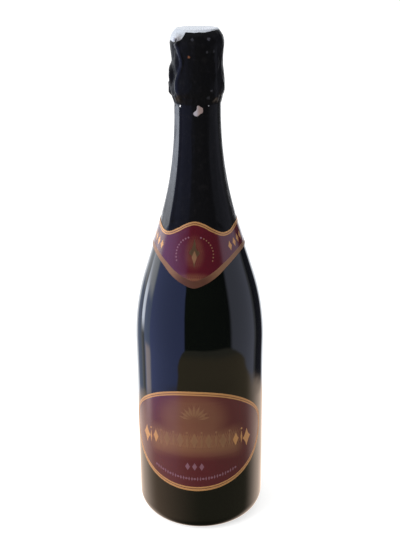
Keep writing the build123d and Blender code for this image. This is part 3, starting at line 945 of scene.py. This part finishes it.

# %% [markdown]
# ## Black foil
# The foil is aluminium under black lacquer: satin, with a fine crinkle, and smoother where
# fingers pressed it on a wire. The crinkle could be modelled, but it is finer than the
# net, so a bump does. Glints where crumples catch the light are painted highlights, set
# at their places by distance, because a painted image would need a flat layout of the hood.

# %% Black foil
# Painted highlights, small glints on the foil: azimuth, distance from the axis, height, size in mm,
# colour
painted_glints = [
    (-47, 14.2, 278.7, 0.75, (0.85, 0.86, 0.90)), (28, 14.2, 279.1, 0.55, (0.30, 0.30, 0.33)),
    (-53, 16.3, 313.3, 1.5, (0.12, 0.125, 0.145)), (-18, 15.3, 307.6, 0.9, (0.14, 0.055, 0.028)),
    (-10.5, 15.2, 317.4, 1.1, (0.035, 0.036, 0.045)),
    (26.4, 15.4, 317.5, 1.3, (0.055, 0.055, 0.07)),
    (21.6, 15.6, 310.2, 1.0, (0.03, 0.03, 0.036)), (36.6, 16.2, 310.4, 1.0, (0.025, 0.025, 0.03)),
    (30, 16.2, 288.2, 0.9, (0.055, 0.055, 0.065)), (24, 15.6, 284.0, 1.3, (0.025, 0.025, 0.03)),
]


def spot_mask(finish, azimuth, radius, height, size, ragged):
    """1 at a place on the bottle, 0 from about size mm off; ragged is a noise or 0.5."""
    sockets = {0: finish.place(), 1: at(azimuth, radius, height)}
    away = finish.node("ShaderNodeVectorMath", sockets, 1, operation="DISTANCE")
    away = away + (ragged - 0.5) * (1.6 * size * mm)
    return finish.step(away, 1.05 * size * mm, 0.35 * size * mm)


def foil_look(finish, shine=1.18, sheen=0.22, rough=0.17):
    cells = {"Vector": finish.place(), "Scale": 330.0}
    crinkle = finish.node("ShaderNodeTexVoronoi", cells, feature="SMOOTH_F1")
    soft, ragged, grain = (finish.noise(scale, 2.0) for scale in (130.0, 1100.0, 2200.0))
    rub = finish.step(finish.noise(300.0, 5.0), 0.50, 0.80)
    colour = finish.mix(rub, (0.0048, 0.0048, 0.0056), (0.0085, 0.008, 0.009))
    # Painted highlights: each glint's colour is laid over the foil's own colour
    for *place, tone in painted_glints:
        colour = finish.mix(spot_mask(finish, *place, ragged), colour, tone)
    worn = finish.node("ShaderNodeAttribute", {}, "Fac", attribute_name="worn")
    return {
        "Base Color": colour,
        "Coat Weight": worn * 0.35,
        "Coat Roughness": 0.16,
        "Roughness": grain * 0.08 + finish.step(soft, 0.3, 0.7) * 0.06 + rough,
        "IOR": shine,
        "Sheen Weight": sheen,
        "Sheen Roughness": 0.3,
        "Normal": finish.bump(crinkle, 0.25, 0.25, finish.bump(soft, 0.35, 0.5)),
    }


black_foil = material("black_foil", foil_look)
# The hood is crushed by hand, which leaves the same foil duller
crushed_foil = material("black_foil_crushed", lambda finish: foil_look(finish, 1.13, 0.0, 0.31))
dress(hood, "foil", "black_foil", crushed_foil, crease=60)
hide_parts("foil_hood")

# %% [markdown]
# ## Top disc
# The round disc that closes the hood is bare, pearl coloured foil, pressed down over the
# edge, further on the left side, where its rim is creased. A shrinkwrap could lay it on,
# but would lose the even rim. Here its outer rings are moved down the hood's own form, so
# it follows each crumple at a set distance.

# %% Top disc
disc_z = hood_top_z + 0.09
drape_start_r, drape_steps = 12.3, 24
shoulder_line = hood_line[::-1]


def down_the_shoulder(distance):
    """Place and outward direction (r, z) on the hood line, distance mm below its top."""
    for (r, z), (next_r, next_z) in zip(shoulder_line, shoulder_line[1:]):
        run = hypot(next_r - r, next_z - z)
        if distance <= run:
            share = distance / run
            out = Vector((z - next_z, next_r - r)) / run
            return r + share * (next_r - r), z + share * (next_z - z), out
        distance -= run


def drape(azimuth):
    """How far the disc's rim reaches down, in mm."""
    left_side = max(1 - (apart(azimuth, -66) / 37) ** 4, 0) ** 0.6
    ragged = drift(azimuth * 0.045, 0.4, 2) + 0.5 * drift(azimuth * 0.13, 1.4, 2)
    even = 1.8 - between(azimuth, 5, 55) + 5.9 * left_side
    return even + (0.35 + 0.5 * left_side) * ragged


rings = [0, 3, 6, 8.4, 10.4, 11.6] + [drape_start_r + step for step in range(drape_steps + 1)]
top_disc = spun("foil_top_disc_pressed", [(r, disc_z) for r in rings], steps=300)
for vertex in top_disc.data.vertices:
    radius, azimuth, z = polar(vertex.co)
    if radius > drape_start_r - 0.1:
        share = (radius - drape_start_r) / drape_steps
        r, height, out = down_the_shoulder(max(share, 0.0) * drape(azimuth))
        pleat = 0.14 + 0.07 * drift(azimuth * 0.22, 5, share * 1.5)
        stand_off = 0.10 + (pleat - 0.10) * between(share, 0, 0.2)
        r = hood_radius(r, azimuth, height) + out.x * stand_off
        vertex.co = at(azimuth, r, height + out.y * stand_off)
    else:
        spot = Vector((vertex.co.x, vertex.co.y, 0)) / mm
        dents = 0.05 * noise.noise(spot * 0.22) + 0.06
        vertex.co.z = (z + dents * (1 - radius / 13) - 0.05) * mm
top_disc = thickened(top_disc, 0.05 * mm)


def bare_foil_look(finish):
    """Pearl coloured foil, with painted shade: darker round the creased dent, near black in its
    pit.
    """
    soft, grain = finish.noise(190.0), finish.noise(1500.0, 2.0)
    relief = finish.bump(soft, 0.3, 0.3)
    pearl = finish.mix(soft, (0.42, 0.46, 0.52), (0.58, 0.60, 0.63))
    # Painted shade: the foil is darkened round the creased dent on the left
    shade = spot_mask(finish, -46, 15.4, 316.0, 4.6, soft)
    # Painted shade: the dent's pit is painted near black
    crease = spot_mask(finish, -50, 15.4, 316.5, 1.9, soft)
    pearl = finish.mix(shade * 0.75, pearl, (0.20, 0.18, 0.18))
    return {
        "Base Color": finish.mix(crease, pearl, (0.012, 0.012, 0.014)),
        "Metallic": 0.30,
        "IOR": 1.05,
        "Roughness": grain * 0.12 + 0.22,
        "Normal": finish.bump(grain, 0.15, 0.04, relief),
    }


dress(top_disc, "foil", "bare_foil", material("bare_foil", bare_foil_look), crease=60)
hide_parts("foil_top_disc")

# %% [markdown]
# ## Tear strip
# A strip between two perforated lines opens the foil. The perforation could be cut, but
# its nicks are a tenth of a millimetre, so they are pressed into the strip's rows. The
# rolling machine leaves one long flat facet on the left, which the skirt below shares.

# %% Tear strip
strip_low, strip_high = neck_radius + 0.05, neck_radius + 0.20
row_heights = [neck_z + 0.5, neck_z + 1.0] + [hood_low_z - down for down in (3.0, 2.0, 1.0, 0.5)]
strip = spun("foil_tear_strip_rolled", rounded([
    (strip_low, neck_z, 0), (strip_high, neck_z, 0.04), *[(strip_high, z, 0) for z in row_heights],
    (strip_high, hood_low_z, 0.04), (strip_low, hood_low_z, 0), (strip_low, neck_z, 0),
]), steps=192)
nick_pitch, nick_sharpness = 7.5, 14


def on_the_facet(azimuth, height):
    return 1 - between(abs(apart(azimuth, -64)), 14.5, 16.5)


def long_facet(radius, azimuth):
    """How far the foil stands off over the flat facet on the left, in mm."""
    off, half = abs(apart(azimuth, -61.5)), 12.5
    corner = radius * (1 / cos(radians(half)) - 1)
    if off < half:
        return (radius + corner) * cos(radians(half)) / cos(radians(off)) - radius
    return corner * hill(off - half, 8.0)


def perforated(radius, azimuth, height):
    edge = min(abs(height - neck_z - 0.25), abs(height - hood_low_z + 0.25))
    off_nick = (azimuth % nick_pitch / nick_pitch - 0.5) * nick_sharpness
    nick = hill(off_nick, 1.2) * hill(edge, 0.4)
    free = 1 - between(height, hood_low_z - 2.5, hood_low_z - 0.3)
    pressed = 0.09 * nick if radius > strip_high - 0.05 else 0
    return radius + long_facet(radius, azimuth) * free - pressed


dress(burnish(shaped(strip, perforated), on_the_facet), "bottle", "black_foil", black_foil)
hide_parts("foil_tear_strip")

# %% [markdown]
# ## The collar's edges
# The collar label has a waved top and a pointed foot. Both edges are needed before the
# label is made, because the skirt under it lies flat there. They could be drawn as curves.
# A table with one height per degree is quicker to read off, and is mirrored to the right.

# %% Where the collar label's edges run
# Azimuth from the label's middle, height over the foot of the cone
collar_low = [
    (0, 0.8), (12, 3.0), (24, 6.6), (38, 11.7), (54, 15.8), (68, 17.8), (82, 18.6), (96, 18.7),
]
collar_high = [
    (0, 39.2), (14, 37.6), (27, 34.4), (41, 31.6), (54, 31.8), (68, 33.8), (82, 34.9), (96, 35.2),
]
label_azimuth = -5.5


def edge_table(stations):
    """Height of an edge at every whole degree from the label's middle."""
    mirrored = [(-azimuth, height) for azimuth, height in stations[2:0:-1]]
    line = through(mirrored + stations, 40)
    table = []
    for whole in range(97):
        (start, z), (end, next_z) = next(
            (a, b) for a, b in zip(line, line[1:]) if a[0] <= whole <= b[0] + 1e-6 and b[0] > a[0]
        )
        table.append(cone_low_z + z + (whole - start) / (end - start) * (next_z - z))
    return table


low_table, high_table = edge_table(collar_low), edge_table(collar_high)


def edge_height(table, azimuth):
    """Height in mm of the collar's edge at an azimuth from its middle."""
    place = min(abs(azimuth), 95.999)
    step = int(place)
    return table[step] + (place - step) * (table[step + 1] - table[step])


print("collar edges at the front:", round(low_table[0], 1), round(high_table[0], 1))

# %% [markdown]
# ## Foil skirt
# Below the strip the skirt is rolled onto neck and shoulder by machine: nearly smooth,
# with long flat pleats, and two small facets where it meets the collar. A displacement
# could wrinkle it, but the pleats have to end under the label, so they are worked out from
# the distance to the label's edge.

# %% Foil skirt
skirt_low_z = 199.0
outer_line, inner_line = flank(0.20, skirt_low_z, 56), flank(0.05, skirt_low_z, 56)
skirt = spun("foil_skirt_rolled", outer_line + inner_line[::-1] + outer_line[:1], steps=288)


def pleated(radius, azimuth, height):
    over = height - edge_height(high_table, apart(azimuth, label_azimuth))
    free = between(over, 0.6, 5.0) * (1 - between(height, 262, 273))
    spot = Vector((sin(radians(azimuth)), -cos(radians(azimuth)), 0)) * 2.2
    long_fold = noise.noise(spot + Vector((0, 0, height * 0.012 + 4.0)))
    sharp_fold = 1 - 3 * abs(noise.noise(spot * 1.9 + Vector((5.0, 0, height * 0.02))))
    facet = 0.0
    for facet_azimuth, tilt in ((-47, 1), (39, -1)):
        along = apart(azimuth, facet_azimuth) * 0.45
        facet += 0.45 * hill(over - 3.6 - tilt * along * 0.55, 2.6) * hill(along, 6.0)
    stand_off = long_facet(radius, azimuth) * between(over, 0.6, 8.0)
    stand_off += free * (0.07 + 0.13 * long_fold + 0.06 * sharp_fold)
    return radius + stand_off + between(over, 0.3, 2.0) * facet


dress(burnish(shaped(skirt, pleated), on_the_facet), "bottle", "black_foil", black_foil)
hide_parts("foil_skirt")

# %% [markdown]
# ## Sheets that lie on the bottle
# Labels and the tear tab are cut flat and then laid on the glass, and so they are made
# here: x runs round the bottle, y up and z away from it, in mm. A fan of triangles would
# shade badly once it is bent, so a square grid is pressed into the outline. `grown` adds
# stamped lines at the edge, and `wrapped` lays the sheet on the bottle.

# %% Flat sheets
def sheet(name, outline, cells, finishes=()):
    """A flat sheet whose edge is outline(turn), a point in mm for a turn in radians."""
    bpy.ops.mesh.primitive_grid_add(x_subdivisions=cells, y_subdivisions=cells, size=2)
    piece = bpy.context.object
    piece.name = piece.data.name = name
    for vertex in piece.data.vertices:
        x, y, _ = vertex.co
        disc_x, disc_y = x * (1 - y * y / 2) ** 0.5, y * (1 - x * x / 2) ** 0.5
        edge_x, edge_y = outline(atan2(disc_y, disc_x))
        reach = hypot(disc_x, disc_y)
        vertex.co = (reach * edge_x, reach * edge_y, 0)
    for finish in finishes:
        piece.data.materials.append(finish)
    return piece


def grown(piece, outward, steps):
    """Extrude the sheet's edge in steps of (mm outwards, mm up, material number)."""
    for out, up, number in steps:
        bpy.ops.object.mode_set(mode="EDIT")
        bpy.ops.mesh.select_mode(type="EDGE")
        bpy.ops.mesh.select_all(action="DESELECT")
        bpy.ops.mesh.select_non_manifold()
        bpy.ops.mesh.extrude_region_move()
        bpy.ops.object.mode_set(mode="OBJECT")
        for vertex in piece.data.vertices:
            if vertex.select:
                vertex.co += outward(vertex.co) * out + Vector((0, 0, up))
        for face in piece.data.polygons:
            if sum(piece.data.vertices[v].select for v in face.vertices) == 2:
                face.material_index = number
    return piece


def printed_map(piece, x_unit=1.0, middle_y=0.0):
    """UV map with the sheet's own mm from its middle, 100 mm to the map's side."""
    layer = piece.data.uv_layers.active
    for loop in piece.data.loops:
        x, y, _ = piece.data.vertices[loop.vertex_index].co
        layer.data[loop.index].uv = (x * x_unit / 100 + 0.5, (y - middle_y) / 100 + 0.5)
    return piece


def wrapped(piece, azimuth, height, gap):
    """Lay a flat piece on the bottle, its origin at an azimuth and a height."""
    for vertex in piece.data.vertices:
        x, y, z = vertex.co
        turned = degrees(x / (glass_radius(height + y) + gap))
        vertex.co = at(azimuth + turned, *off_glass(height + y, z, gap))
    return piece


print("a sheet 100 mm wide spans", round(degrees(100 / body_radius)), "degrees of the barrel")

# %% [markdown]
# ## Tear tab
# The end of the tear strip sticks out as a small ragged tab to pull on. Its outline was
# torn, not cut, so it is a smooth line through uneven places, and a ray from the middle
# finds the edge in each direction. A slight dent and a fold keep it from looking stamped.

# %% Tear tab
tab_edge = [
    (2.7, 0.2), (2.4, 1.7), (1.2, 2.4), (0.2, 3.1), (-0.8, 2.8), (-0.9, 1.3), (-1.5, 0.1),
    (-2.6, -0.7), (-2.95, -1.7), (-2.3, -2.7), (-1.1, -3.1), (0.0, -2.7), (1.2, -1.6), (2.35, -1.1),
]
tab_line = through([*tab_edge[-2:], *tab_edge, *tab_edge[:2]], 6)


def half_turn(angle):
    """The same angle between -pi and pi."""
    return (angle + pi) % (2 * pi) - pi


def tab_outline(turned):
    """Where a ray from the tab's middle meets its edge."""
    for (x, y), (next_x, next_y) in zip(tab_line[6:], tab_line[7:]):
        first = atan2(y, x)
        step = half_turn(atan2(next_y, next_x) - first)
        share = half_turn(turned - first) / step if step else -1
        if -1e-6 <= share <= 1:
            return x + share * (next_x - x), y + share * (next_y - y)
    return tab_edge[0]


tab = sheet("tear_tab_pressed", tab_outline, 16)
for vertex in tab.data.vertices:
    x, y, _ = vertex.co
    vertex.co.z = 0.06 * drift(x / 2, y / 2, 3) + 0.10 * hill(x + 1.2 * y, 2.4)
wrapped(thickened(tab, 0.25, 1.0), 2.0, neck_z + 3.1, 0.36)


def tab_look(finish):
    """Bare foil with a rosy cast on its right side."""
    right = finish.step(finish.split(finish.place())[0], -1.0 * mm, 1.2 * mm)
    soft = finish.noise(900.0)
    colour = finish.mix(right, (0.46, 0.44, 0.49), (0.34, 0.245, 0.22))
    return {
        "Base Color": finish.mix(soft * 0.5, colour, (0.30, 0.24, 0.26)),
        "Metallic": 0.2,
        "Roughness": 0.4,
        "Normal": finish.bump(soft, 0.4, 0.15),
    }


dress(tab, "tab", "bare_foil", material("tab_foil", tab_look))
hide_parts("tear_tab")

# %% [markdown]
# ## Paper and print
# The labels are varnished burgundy paper. Their middle is closely printed in gold, only a
# haze from a step away. A picture could hold that print, but a lattice of waved lines stays
# sharp, and soft masks say where it shows.

# %% Printed paper
def print_axes(finish):
    """The sheet's own millimetres, from the UV map."""
    x, y, _ = finish.split(finish.node("ShaderNodeTexCoord", {}, 2))
    return (x - 0.5) * 100.0, (y - 0.5) * 100.0


def line_lattice(finish, along, up, pitch, width):
    """Two sets of crossing waved lines."""
    waves = up.maths("SINE", up * 0.8) * 0.5
    lines = []
    for sign in (1, -1):
        run = (along * sign + up * 0.6 + waves) * (2 * pi / pitch)
        lines.append(finish.step(run.maths("SINE", run), 1 - width * 2, 1 - width * 2 + 0.25))
    return lines[0].maths("MAXIMUM", *lines)


def paper_surface(finish, gold_mask):
    """Burgundy varnished paper with printed gold where the mask is 1."""
    fibres = finish.noise(900.0)
    cloud = finish.noise(60.0, 2.0)
    burgundy = finish.mix(cloud, (0.071, 0.0036, 0.0094), (0.083, 0.0045, 0.0112))
    return {
        "Base Color": finish.mix(gold_mask, burgundy, (0.52, 0.29, 0.13)),
        "Metallic": gold_mask * 0.3,
        "Roughness": fibres * 0.06 + 0.16,
        "IOR": 1.70,
        "Normal": finish.bump(gold_mask, 0.3, 0.03, finish.bump(fibres, 0.12, 0.06)),
    }


def oval_zone(finish, along, up, half_width, half_height):
    """Soft oval mask, 1 in the middle and 0 at its edge."""
    reach = finish.reach(along * (1 / half_width), up * (1 / half_height))
    return 1 - finish.step(reach, 0.45, 1.0)


def front_print(finish):
    along, up = print_axes(finish)
    arched = up + along * along * 0.003
    middle = finish.band(along, -31, 31, 6) * finish.band(arched, -9, 8, 6) * 0.44
    top = oval_zone(finish, along + 1.0, up - 15.0, 28, 24) * 0.27
    lattice = line_lattice(finish, along, up, 1.5, 0.42)
    return paper_surface(finish, lattice * middle.maths("MAXIMUM", middle, top))


def collar_print(finish):
    along, up = print_axes(finish)
    tip = oval_zone(finish, along, up + 15.5, 15.0, 8.0) * 0.30
    middle = oval_zone(finish, along, up - 3.0, 7.5, 12.0) * 0.14
    return paper_surface(finish, line_lattice(finish, along, up, 1.2, 0.35) * (middle + tip))


front_paper = material("front_label_paper", front_print)
collar_paper = material("collar_label_paper", collar_print)

# %% [markdown]
# ## Inks
# The larger ornaments are gold, dull gold, lilac and bronze. One flat colour each would
# look like plastic. Here a fine speckle, from the paper under the ink, changes its colour,
# gloss and relief together, and one recipe with other numbers gives every ink.

# %% Inks
def ink(name, colour, metal, roughness, fading=False):
    """A speckled ink; the collar's lower band fades to dark red at the tip."""
    def look(finish):
        speckle = finish.noise(1400.0)
        shade = finish.mix(speckle, tuple(0.72 * channel for channel in colour), colour)
        if fading:
            tip = spot_mask(finish, label_azimuth, 35.5, 173.5, 19.0, 0.5)
            shade = finish.mix(tip * 0.8, shade, (0.075, 0.020, 0.014))
        return {
            "Base Color": shade,
            "Metallic": metal,
            "Roughness": speckle * 0.1 + roughness,
            "Normal": finish.bump(speckle, 0.15, 0.03),
        }
    return material(name, look)


gold_print = ink("gold_print", (0.66, 0.34, 0.13), 0.4, 0.30)
dull_gold = ink("dull_gold_print", (0.30, 0.15, 0.075), 0.3, 0.36)
lilac_print = ink("lilac_print", (0.24, 0.105, 0.14), 0.1, 0.34)
bronze_print = ink("bronze_print", (0.10, 0.055, 0.025), 0.3, 0.36)
fading_print = ink("fading_gold_print", (0.30, 0.15, 0.075), 0.3, 0.36, fading=True)
prints = (gold_print, dull_gold, lilac_print, bronze_print)

# %% [markdown]
# ## Raised ornaments
# Hot stamping leaves each ornament slightly proud of the paper. The print could be a mask
# in the paper's shader, but small shapes with a bevelled edge catch the light as stamped
# gold does. A circle with four corners is a lozenge, with ten it is a bead. Each pattern is
# made once and copied to its places.

# %% Raised ornaments
patterns = {}
for name, corners, width, tall, finish in [
    ("leaf", 4, 4.6, 9.5, gold_print), ("end_leaf", 4, 7.0, 13.0, gold_print),
    ("stem", 4, 1.5, 9.5, gold_print), ("bead", 10, 1.4, 1.4, gold_print),
    ("dull_leaf", 4, 5.0, 11.0, dull_gold), ("dull_stem", 4, 1.5, 9.5, dull_gold),
    ("dull_bead", 10, 1.5, 1.5, dull_gold), ("fan_leaf", 4, 1.9, 9.0, dull_gold),
    ("lilac_disc", 10, 1.7, 1.7, lilac_print), ("lilac_stroke", 4, 1.2, 3.2, lilac_print),
    ("lilac_lozenge", 4, 3.2, 5.6, lilac_print), ("lilac_bead", 8, 1.2, 1.2, lilac_print),
    ("small_bead", 8, 1.0, 1.0, dull_gold), ("emblem_outer", 4, 8.0, 19.0, bronze_print),
    ("emblem_inner", 4, 3.2, 8.0, dull_gold), ("band_lozenge", 4, 3.4, 6.4, gold_print),
]:
    bpy.ops.mesh.primitive_circle_add(vertices=corners, radius=1, fill_type="NGON")
    pattern = bpy.context.object
    bpy.ops.object.mode_set(mode="EDIT")
    bpy.ops.mesh.select_all(action="SELECT")
    bpy.ops.transform.resize(value=(width / 2, tall / 2, 1))
    bpy.ops.mesh.inset(thickness=0.12 * min(width, tall), depth=0.04)
    bpy.ops.mesh.inset(thickness=0.12 * min(width, tall), depth=0.0)
    bpy.ops.object.mode_set(mode="OBJECT")
    pattern.data.materials.append(finish)
    patterns[name] = pattern


def placed(name, x, y, lift=0.15):
    """A copy of a pattern, moved to a place on the flat sheet."""
    made = copied(patterns[name])
    made.data.transform(Matrix.Translation((x, y, lift)))
    return made


print(len(patterns), "patterns made")

# %% [markdown]
# ## Front label
# The large label is an oval, flatter at the top, with two gold lines stamped along its
# edge. They could be rings laid on it, but grown out of the sheet's edge they stay joined
# to it. The ornament is a row of lozenges with a fan over it, and an arc of lilac discs
# and strokes below.

# %% Front label
label_half_width, label_half_height = 51.7, 34.95
full_half_width, full_half_height = 53.5, 36.75
label_z, paper_thickness = 69.95, 0.15
# Gold line, gap, gold line: outwards, up, material
stamped_edge = [
    (0.02, 0.04, 1), (0.56, 0, 1), (0.02, -0.04, 1), (0.38, 0, 0), (0.02, 0.04, 1), (0.78, 0, 1),
    (0.02, -0.04, 1),
]


def oval(turned):
    upper = turned > 0
    height = (label_half_height - (1.6 if upper else 1.08)) * sin(turned)
    if upper:
        height -= 2.8 * sin(2 * turned) ** 2 * abs(cos(turned))
    return label_half_width * cos(turned), height


def off_the_oval(spot):
    """Outward direction at the edge; longer at top and foot, where the lines are wider."""
    out = Vector((spot.x / full_half_width**2, spot.y / full_half_height**2, 0)).normalized()
    return out * (1 + (0.4 if out.y > 0 else 0.6) * abs(out.y) ** 3)


label = sheet("front_label_stamped", oval, 56, (front_paper, *prints))
label = thickened(printed_map(grown(label, off_the_oval, stamped_edge)), paper_thickness, 1.0)

ornaments = []
for step in range(-4, 5):
    x = step * 9.3
    y = 0.5 - 0.0030 * x * x
    leaf = ("dull_leaf", "dull_leaf", "dull_leaf", "leaf", "end_leaf")[abs(step)]
    ornaments.append(placed(leaf, x, y))
    if step < 4:
        dull = "" if step in (-4, 3) else "dull_"
        ornaments.append(placed(dull + "stem", x + 4.65, y))
        ornaments.append(placed(dull + "bead", x + 4.65, y + 6.2))
for step in range(-4, 5):
    blade = placed("fan_leaf", 0, 6.6)
    blade.data.transform(Matrix.Rotation(radians(-19 * step), 4, "Z"))
    blade.data.transform(Matrix.Translation((0, 15.5, 0)))
    ornaments.append(blade)
for step in range(-15, 16):
    x = step * 1.85
    mark = "lilac_stroke" if step % 3 else "lilac_disc"
    ornaments.append(placed(mark, x, -27.7 + 0.0062 * x * x))
ornaments += [placed("lilac_lozenge", x, -18.5) for x in (-4.6, 0, 4.6)]
label = joined("front_label_stamped", label, *ornaments)
wrapped(label, label_azimuth, label_z, 0.05)
dress(label, "bottle", "label_paper", crease=30)
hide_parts("front_label")

# %% [markdown]
# ## Collar label
# The collar wraps the foot of the cone and covers the skirt's edge. It could be cut out of
# a band, but then the net would cross the gold lines in steps. So the rows of a grid follow
# both edges, close together at the stamped lines, and start at a slit at the back.

# %% Collar label
low_band, high_band = 2.63, 1.88
inner_rows, columns = 26, 300
# Rows of the net, upwards: share of the way between the bands, mm from the lower edge, mm
# from the upper edge, lift, material below
net_rows = [(0, 0, 0, 0, 5), (0, 0.03, 0, 0.04, 5), (0, 2.6, 0, 0.04, 5), (0, low_band, 0, 0, 5)]
for step in range(1, inner_rows + 1):
    net_rows.append((step / (inner_rows + 1), low_band, high_band, 0, 0))
for down, lift, number in [
    (high_band, 0, 0), (1.86, 0.04, 1), (1.27, 0.04, 1), (1.25, 0, 1), (0.78, 0, 0),
    (0.76, 0.04, 1), (0.03, 0.04, 1), (0, 0, 1),
]:
    net_rows.append((1, 0, down, lift, number))
low_widening, widened_to = 0.5, 45
slit_half_angle = degrees(0.4 / 31.0)
collar_gap, collar_map_z = 0.30, 190


def steepness(table, azimuth):
    """Length of the edge per mm round the bottle."""
    rise = edge_height(table, azimuth + 1) - edge_height(table, azimuth - 1)
    return hypot(1, rise / (radians(2) * glass_radius(edge_height(table, azimuth))))


cells_up = len(net_rows) - 1
bpy.ops.mesh.primitive_grid_add(x_subdivisions=columns, y_subdivisions=cells_up, size=2)
collar = bpy.context.object
for finish in (collar_paper, *prints, fading_print):
    collar.data.materials.append(finish)
numbers = {}
for vertex in collar.data.vertices:
    column = round((vertex.co.x + 1) / 2 * columns)
    row = round((vertex.co.y + 1) / 2 * cells_up)
    azimuth = (column / columns * 2 - 1) * (180 - slit_half_angle)
    share, up, down, lift, numbers[vertex.index] = net_rows[row]
    up *= steepness(low_table, azimuth) * (1 + low_widening * hill(azimuth, widened_to))
    low = edge_height(low_table, azimuth) + up
    high = edge_height(high_table, azimuth) - down * steepness(high_table, azimuth)
    vertex.co = (azimuth, low + share * (high - low), lift)
for face in collar.data.polygons:
    face.material_index = numbers[max(face.vertices, key=lambda v: collar.data.vertices[v].co.y)]
printed_map(collar, radians(29), collar_map_z)
for vertex in collar.data.vertices:
    azimuth, height, lift = vertex.co
    vertex.co = at(azimuth + label_azimuth, *off_glass(height, collar_gap + lift))
thickened(collar, paper_thickness * mm, 1.0)


def on_band(name, azimuth, height, shift=0.0, lift=0.15):
    """Lay an ornament on the collar."""
    return wrapped(placed(name, 0, shift, lift), azimuth + label_azimuth, height, collar_gap)


emblem_z, arc_z, arc_radius = 193.0, 191.0, 11.5
ornaments = [on_band("emblem_outer", 0, emblem_z), on_band("emblem_inner", 0, emblem_z, -2.5, 0.19)]
for step in [*range(-11, -1), *range(2, 12)]:
    turned = radians(step * 9.5)
    y = arc_z + arc_radius * cos(turned)
    azimuth = degrees(arc_radius * sin(turned) / glass_radius(y))
    ornaments.append(on_band("lilac_bead" if step < 3 else "small_bead", azimuth, y))
for azimuth in (49, 58, 67, 76):
    middle = (edge_height(low_table, azimuth) + edge_height(high_table, azimuth)) / 2
    ornaments += [on_band("band_lozenge", sign * azimuth, middle) for sign in (1, -1)]
collar = joined("collar_label_stamped", collar, *ornaments)
dress(collar, "bottle", "label_paper", crease=30)
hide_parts("collar_label")
for pattern in patterns.values():
    bpy.data.objects.remove(pattern)

# %% [markdown]
# ## Sizes and finish
# The finished pieces are measured together, and their box is printed. Measured
# one by one they could hide a piece that is out of place.

# %% Sizes and finish
low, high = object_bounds()
print("visual box", [round(v, 4) for v in low], [round(v, 4) for v in high])
